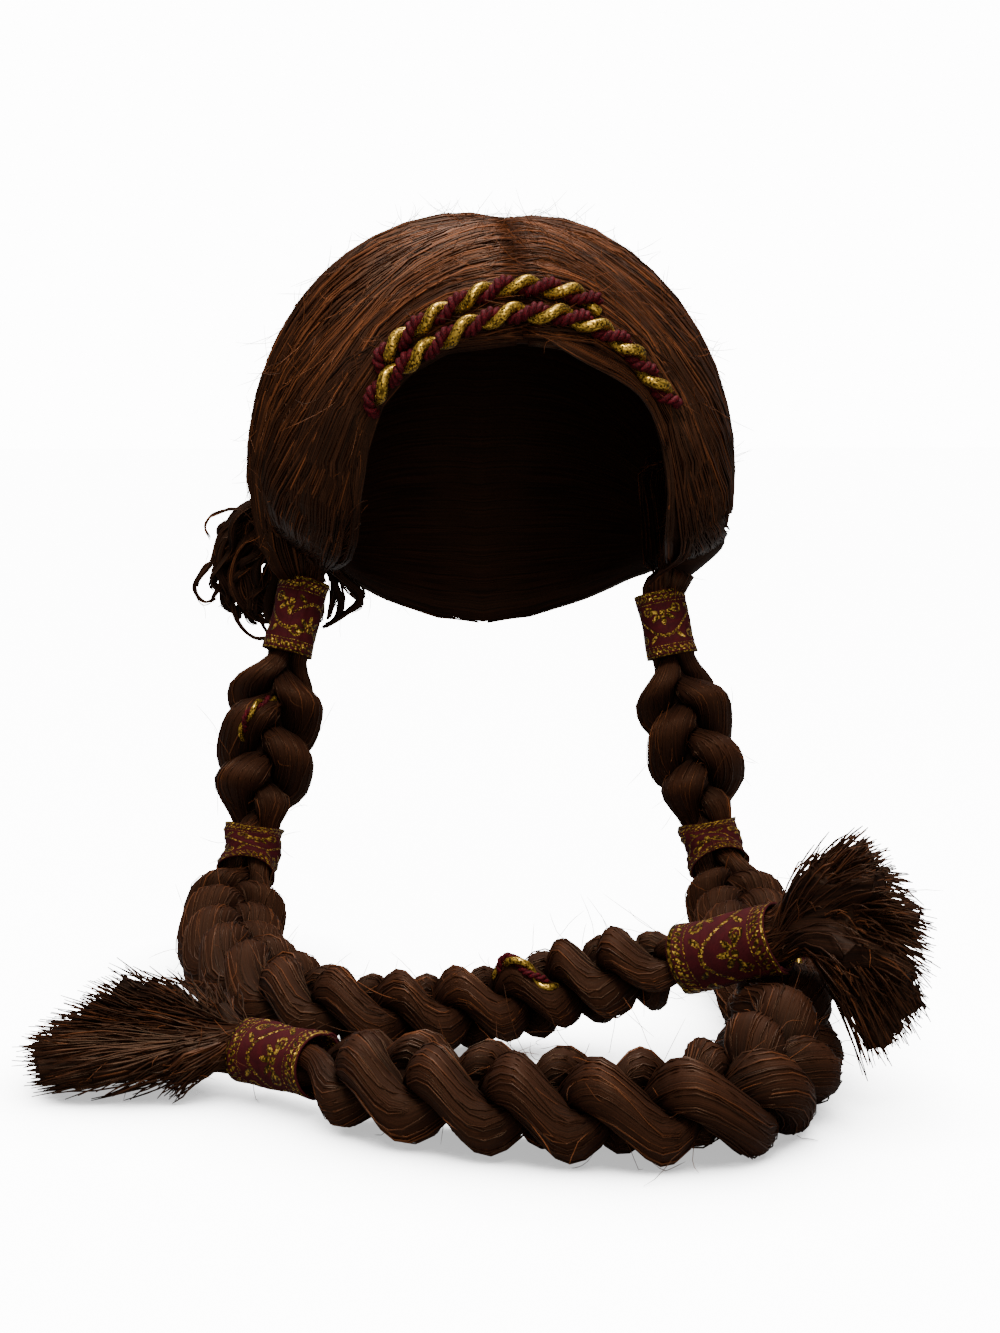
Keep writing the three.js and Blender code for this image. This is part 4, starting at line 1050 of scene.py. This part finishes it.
spread = spot[..., :1] * [1.0, 0, 0.4] + spot[..., 1:] * [0, 1.0, 0.3]
drift = np.stack([wander(len(lock_lines) * FIBRES_PER_LOCK, CURL_POINTS, 6, 0.0004) for _ in range(3)], -1)
curl_paths = lock_lines[:, None] + spread * 0.0024 * taper[:, None, :, None]
curl_paths = curl_paths.reshape(-1, CURL_POINTS, 3) + drift
curl_tones = random_tones(len(curl_paths), 0.36, 0.15)
curl_thickness = chance.uniform(0.00026, 0.00042, len(curl_paths))
fibres_piece("nape_curl_fibres", "nape_curls", curl_paths, curl_thickness, curl_tones)

# The cuffs: lengths of woven brocade ribbon wrapped round each plait and lapped where the end is sewn
# down. Burgundy ground, a gold line and a gold rope along each edge, and a scrolling vine between them.
RIBBON = 33.0
BURGUNDY_DARK, BURGUNDY = linear("#220406"), linear("#480d12")
GOLD_DARK, GOLD_LIGHT = linear("#2c1b04"), linear("#e2b549")

# The metal spark: a random number for each small cell of thread, which paints glints where it chooses a
# colour.
spark_group, spark_in, spark_out = group_tree(
    "metal_spark", [("Cloth", "Vector"), ("Cell", "Float"), ("Rarity", "Float")], [("Spark", "Float")])
one_over = Field(spark_group, spark_in.outputs["Cell"]).node("POWER", -1.0)
spark_scale = add_node(
    spark_group, "VectorMath", {0: spark_in.outputs["Cloth"], "Scale": one_over.socket}, operation="SCALE")
spark_cell = add_node(spark_group, "VectorMath", {0: spark_scale.outputs[0]}, operation="FLOOR")
spark_noise = add_node(spark_group, "TexWhiteNoise", {"Vector": spark_cell.outputs[0]}, noise_dimensions="2D")
rarity = Field(spark_group, spark_in.outputs["Rarity"])
spark = Field(spark_group, spark_noise.outputs["Value"]).node("POWER", rarity)
feed(spark_group, spark_out, {"Spark": spark.socket})

brocade_group, brocade_in, brocade_out = group_tree(
    "brocade_pattern", [("Cloth", "Vector")], [("Gold", "Float"), ("Relief", "Float")])
cloth_parts = add_node(brocade_group, "SeparateXYZ", {0: brocade_in.outputs["Cloth"]})
length_way, width_way = (Field(brocade_group, cloth_parts.outputs[i]) for i in (0, 1))
u = (length_way / 0.34).node("FLOOR") * 0.34
v = (width_way / 0.42).node("FLOOR") * 0.42 - RIBBON / 2
a = abs(v)
edge_line = abs(a - 15.7) < 0.5
rope_bow = (a - 13.1) / 1.55
rope = abs((u / 2.4 + a * 0.3).node("FRACT") - 0.5) < (rope_bow * rope_bow * -0.3 + 0.36)
inner_line = (abs(a - 10.7) < 0.25) & ((u / 1.4).node("FRACT") < 0.7)
wave = (u * (2 * math.pi / 36)).node("SINE")
vine = (abs(v - wave * 6) < 0.75) & ((u / 1.3).node("FRACT") < 0.78)
flipped = v * wave.node("SIGN")
aside = ((u / 18).node("FRACT") - 0.5) * 18
far = abs(aside)
flower_reach = (aside * aside + (flipped + 5.5) * (flipped + 5.5)).node("SQRT")
flower_turn = aside.node("ARCTAN2", flipped + 5.5)
petal_rim = (flower_turn * 7).node("COSINE") * 1.9 + 4.5
petals = (flower_reach < petal_rim) & (flower_reach > 2.0) & (abs(flower_turn) < 2.0)
heart = flower_reach < 1.3
scroll_reach = ((far - 6.2) * (far - 6.2) + (flipped + 6.8) * (flipped + 6.8)).node("SQRT")
scrolls = (abs(scroll_reach - 1.9) < 0.5) | (scroll_reach < 0.7)
leaf_along = (far - 6.0 + flipped - 7.0) / 3.2
leaf_across = (far - 6.0 - flipped + 7.0) / 1.3
leaves = (leaf_along * leaf_along + leaf_across * leaf_across) < 1.0
field_pattern = (vine | petals | heart | scrolls | leaves) & (a < 10.2)
gold = edge_line | rope | inner_line | field_pattern
float_ribs = abs((length_way * (math.pi / 0.34)).node("SINE"))
ground_ribs = abs((width_way * (math.pi / 0.42)).node("SINE"))
relief = gold * (float_ribs * 0.3 + 0.7) + ground_ribs * 0.2
feed(brocade_group, brocade_out, {"Gold": gold.socket, "Relief": relief.socket})

brocade_finish, tree, shader = new_material("brocade")
cloth = add_node(tree, "UVMap", uv_map="flow").outputs[0]
pattern = add_node(tree, "Group", node_tree=brocade_group)
feed(tree, pattern, {"Cloth": cloth})
spark = add_node(tree, "Group", node_tree=spark_group)
feed(tree, spark, {"Cloth": cloth, "Cell": 0.6, "Rarity": 3.4})
wear = add_node(tree, "TexNoise", {"Vector": cloth, "Scale": 0.35})
ground = mixed(tree, wear.outputs["Fac"], BURGUNDY_DARK, BURGUNDY)
# The gold's colour is painted with glints: a few bright cells of thread among darker ones, by the spark.
metal = mixed(tree, spark.outputs["Spark"], GOLD_DARK, GOLD_LIGHT)
gold = pattern.outputs["Gold"]
weave = add_node(tree, "Bump", {"Distance": 0.0003, "Height": pattern.outputs["Relief"]})
feed(tree, shader, {
    "Base Color": mixed(tree, gold, ground, metal),
    "Metallic": (Field(tree, gold) * 0.8).socket,
    "Roughness": ranged(tree, gold, 0.8, 0.36),
    "Specular IOR Level": 0.12,
    "Normal": weave.outputs["Normal"]})


def grid(numbers):
    """Four-cornered faces between neighbouring rows of corner numbers."""
    faces = np.stack([numbers[:-1, :-1], numbers[1:, :-1], numbers[1:, 1:], numbers[:-1, 1:]], -1)
    return faces.reshape(-1, 4)


def strip(one, other):
    """Four-cornered faces between two rows of corner numbers."""
    return np.stack([one[:-1], other[:-1], other[1:], one[1:]], -1)


seams = {("right", "top"): (75, 3), ("right", "middle"): (-70, 14), ("right", "end"): (-110, 4),
         ("left", "top"): (-80, 12), ("left", "middle"): (-100, 20), ("left", "end"): (-60, 1)}
for (side, name), cuff in cuffs.items():
    seam, pattern_start = seams[side, name]
    rows, columns, lap = 16, 84, 0.45
    turn = np.linspace(0, 2 * np.pi + lap, columns)[:, None]
    angle = math.radians(seam) + turn
    share = np.linspace(-0.5, 0.5, rows)[None]
    crumple = 0.00045 if name == "middle" else 0.00012
    place = cuff["place"] + share * cuff["length"] + cuff["arch"] * np.cos(2 * angle) * share
    crease = cuff["fold"] * np.cos(3 * angle + 9 * share)
    pleats = crumple * np.sin(38 * share + 2.2 * np.sin(2 * angle) + seam) * np.sin(angle * 1.5 + seam)
    swell = 1 + cuff["flare"] * (2 * np.abs(share)) ** 2 + crease
    over = 0.0010 * smooth((turn - 2 * np.pi + 0.15) / 0.2)
    radius = (cuff["width"] / 2 - CUFF_WALL) * swell + over + pleats
    point, _, wide, across = routes[side].at(place)
    arm = wide * np.cos(angle)[..., None] + across * np.sin(angle)[..., None]
    outer = point + arm * (radius + 0.0009)[..., None]
    inner = point + arm * (radius + 0.0001)[..., None]
    number = np.arange(columns * rows).reshape(columns, rows)
    inside = number + columns * rows
    faces = np.concatenate([
        grid(number)[:, ::-1], grid(inside),
        strip(number[:, 0], inside[:, 0])[:, ::-1], strip(number[:, -1], inside[:, -1]),
        strip(number[0], inside[0]), strip(number[-1], inside[-1])[:, ::-1]])
    around = turn * cuff["width"] / 2 * 1000 + pattern_start + 0 * share
    down_ribbon = (share + 0.5) * RIBBON + 0 * turn
    flow = np.tile(np.stack([around, down_ribbon], -1).reshape(-1, 2), (2, 1))
    points = np.concatenate([outer.reshape(-1, 3), inner.reshape(-1, 3)])
    node = f"{side}_{name}_cuff"
    add_piece(f"{node}_ribbon", node, brocade_finish, points, [faces], flow[faces.ravel()], 0.5)

# The forehead cords: two rows of twisted cord sewn side by side along the hairline. Each is a fat ply
# wound with gold metal thread and a ply of two burgundy yarns, twisted round each other.
CORD, CORD_PITCH = 0.008, 0.018
PLY_OFFSET = 0.27 * CORD


def yarn_material(name, low, high, metallic, roughness, cell, relief_depth):
    """Finish of a wound or twisted yarn: each small cell of thread takes its own colour from low to high, a
    painted glint, and its own roughness and relief.
    """
    material, tree, shader = new_material(name)
    flow = add_node(tree, "UVMap", uv_map="flow")
    stretch = add_node(tree, "VectorMath", {0: flow.outputs[0], 1: (10.0, 1.0, 1.0)}, operation="MULTIPLY")
    spark = add_node(tree, "Group", node_tree=spark_group)
    feed(tree, spark, {"Cloth": stretch.outputs[0], "Cell": cell, "Rarity": 1.4})
    glint = spark.outputs["Spark"]
    bump = add_node(tree, "Bump", {"Distance": relief_depth, "Height": glint})
    feed(tree, shader, {
        "Base Color": mixed(tree, glint, low, high),
        "Roughness": ranged(tree, glint, roughness, roughness * 0.7),
        "Metallic": metallic,
        "Specular IOR Level": 0.1,
        "Normal": bump.outputs["Normal"]})
    return material


gold_finish = yarn_material("gold_thread", GOLD_DARK, GOLD_LIGHT, 0.85, 0.42, 0.55, 0.00025)
burgundy_finish = yarn_material("burgundy_yarn", linear("#260407"), linear("#560c15"), 0.0, 0.8, 0.4, 0.0001)


def twisted(path, outward, pitch, offset, start):
    """A path wound round another one, with the arm that points out from it."""
    tangent = unit(np.gradient(path, axis=0))
    lead = unit(outward - tangent * (outward * tangent).sum(axis=1, keepdims=True))
    steps = np.linalg.norm(np.diff(path, axis=0), axis=1)
    angle = (start - 2 * np.pi * np.concatenate([[0], np.cumsum(steps)]) / pitch)[:, None]
    arm = lead * np.cos(angle) + np.cross(tangent, lead) * np.sin(angle)
    return path + arm * offset, arm


def cord_pieces(name, node_gold, node_burgundy, path, outward, thickness, pitch, gold_share=1.0):
    """One cord: the wound gold ply and the two burgundy yarns, as two pieces."""
    scale = thickness / CORD
    offset = PLY_OFFSET * scale
    gold_line, _ = twisted(path, outward, pitch, offset, 0.0)
    count = int(len(path) * gold_share)
    ripple = 1 + 0.06 * np.abs(np.sin(np.arange(count) * 1.1))
    gold_rings = rings_along(gold_line[None, :count], 0.00215 * scale * ripple[None], 14)
    rings_piece(f"{name}_gold_ply", node_gold, gold_finish, gold_rings, [0.5])
    middle, arm = twisted(path, outward, pitch, offset, np.pi)
    yarns = [twisted(middle, arm, 0.42 * pitch, 0.00118 * scale, start)[0] for start in (0.0, np.pi)]
    yarn_rings = rings_along(np.stack(yarns)[:, ::2], 0.0012 * scale, 9)
    rings_piece(f"{name}_burgundy_ply", node_burgundy, burgundy_finish, yarn_rings, 0.5)


# Each row's gap to the hair, and its drop below the top in nape drops by degrees from the forehead.
cord_rows = {
    "upper": (0.0003, table(
        "azimuth drop", (-48, 0.39), (-42.5, 0.335), (-38, 0.297), (-30, 0.253), (-18.5, 0.213),
        (-5, 0.184), (9.5, 0.188), (22.5, 0.207), (33, 0.245), (42, 0.31))),
    "lower": (0.0013, table(
        "azimuth drop", (-49, 0.455), (-43, 0.39), (-38, 0.35), (-30, 0.307), (-18, 0.267), (-4, 0.238),
        (14, 0.244), (25.5, 0.268), (35, 0.312), (42, 0.37), (49, 0.44))),
}
# The azimuths between which each row shows; beyond them its ends are tucked in under the hair.
cord_shows = {"upper": (-41, 25), "lower": (-44.5, 46)}
for row, (seat, rows) in cord_rows.items():
    first, last = cord_shows[row]
    azimuth = np.linspace(first - 4, last + 4, 34)
    drop = np.interp(azimuth, rows["azimuth"], rows["drop"])
    drop = np.convolve(np.pad(drop, 2, "edge"), [0.1, 0.25, 0.3, 0.25, 0.1], "valid")
    angle = angle_at(drop * NAPE_DROP)
    hair = crown_hair(azimuth, angle)
    tucked = smooth(np.maximum(first - azimuth, azimuth - last) / 4)
    lift = (hair + CORD / 2 + seat) * (1 - tucked) + (hair * 0.5 - 0.0015) * tucked
    path = evenly(line_through(head_point(azimuth, angle, lift), 14), 460)[0]
    outward = unit(path + [0, 0, DOME_HEIGHT])
    cord_pieces(f"{row}_cord", f"{row}_cord_gold", f"{row}_cord_burgundy", path, outward, CORD, CORD_PITCH,
                0.93)

# The plait cords: the ends of a thinner cord of the same kind, braided in with the hair, which show on
# three strands and dive under the next.
plait_cords = {
    "right_plait_cord_high": ("right", 0, 0.50, 0.76, 100, 0.0036),
    "right_plait_cord_low": ("right", 0, 4.55, 4.89, 145, 0.0044),
    "left_plait_cord": ("left", 2, 3.40, 3.78, 20, 0.0040),
}
for name, (side, strand, first, last, face, thickness) in plait_cords.items():
    fine = np.linspace(0, routes[side].length, 4000)
    turns, _ = plait_turns(side, fine)
    places = np.interp(np.linspace(first, last, 90), turns, fine)
    centre = strand_places(side, strand, places, np.full(90, math.radians(face)), np.zeros(90))
    surface = strand_places(side, strand, places, np.full(90, math.radians(face)), np.ones(90))
    outward = unit(surface - centre)
    sunk = (0.3 - 1.1 * np.abs(np.linspace(-1, 1, 90)) ** 3)[:, None] * thickness
    cord_pieces(name, name, name, surface + outward * sunk, outward, thickness, 0.015)

# Loose hairs: single fibres that have slipped out of the crown, the plaits and the tufts and stand off
# them in short arcs.


def loose_hairs(name, node, hosts, centres, count, length, stand):
    """Thin arcs that start on host fibres and lean away from the centre beside them."""
    count = thinned(count)
    pick = chance.integers(0, len(hosts), count)
    step = chance.integers(1, hosts.shape[1] - 2, count)
    start = hosts[pick, step]
    ahead = unit(hosts[pick, step + 1] - hosts[pick, step - 1]) * chance.choice([-1, 1], count)[:, None]
    away = unit(start - (centres[step] if centres.ndim == 2 else centres))
    s = np.linspace(0, 1, 6)[None, :, None]
    reach = chance.uniform(0.35, 1, count)[:, None, None] * length
    rise = chance.uniform(0.15, 1, count)[:, None, None] * stand
    bend = chance.normal(0, 0.35, (count, 1, 3)) * reach
    paths = start[:, None] + ahead[:, None] * reach * s + away[:, None] * rise * s**1.4 + bend * s**2
    paths += np.stack([wander(count, 6, 4, 0.0006) for _ in range(3)], -1) * s
    paths[..., 2] = np.maximum(paths[..., 2], 0.0004 - SURFACE_DROP)
    # The loose hairs are painted lighter than the hair they leave: a painted glow of light shining through
    # thin stray hair.
    tones = np.clip(chance.normal(0.62, 0.15, count), 0.1, 1)
    fibres_piece(name, node, paths, 0.00012, tones)


loose_hairs("nape_curl_loose_hairs", "nape_curls", curl_paths, curl_paths.mean(axis=(0, 1)), 90, 0.010, 0.004)
for side in ("right", "left"):
    crown, gather, tuft = crown_paths[side][:, :11], gathers[side], tuft_paths[side]
    loose_hairs(f"crown_{side}_loose_hairs", "crown_hair", crown, np.array([0, 0, -0.09]), 560, 0.017, 0.006)
    loose_hairs(f"{side}_gather_loose_hairs", "crown_hair", gather, gather.mean(axis=0), 170, 0.012, 0.005)
    loose_hairs(f"{side}_tuft_loose_hairs", f"{side}_tuft", tuft, tuft.mean(axis=0), 150, 0.013, 0.005)
    steps = 120
    places = np.linspace(0.03, routes[side].length - 0.02, steps)
    angles = chance.uniform(0, 2 * np.pi, (60, 1)) + np.zeros((60, steps))
    share = np.ones((60, steps))
    hosts = np.concatenate([strand_places(side, strand, places, angles, share) for strand in range(3)])
    middle = routes[side].at(places)[0]
    loose_hairs(f"{side}_plait_loose_hairs", f"{side}_strand_1", hosts, middle, 330, 0.014, 0.007)
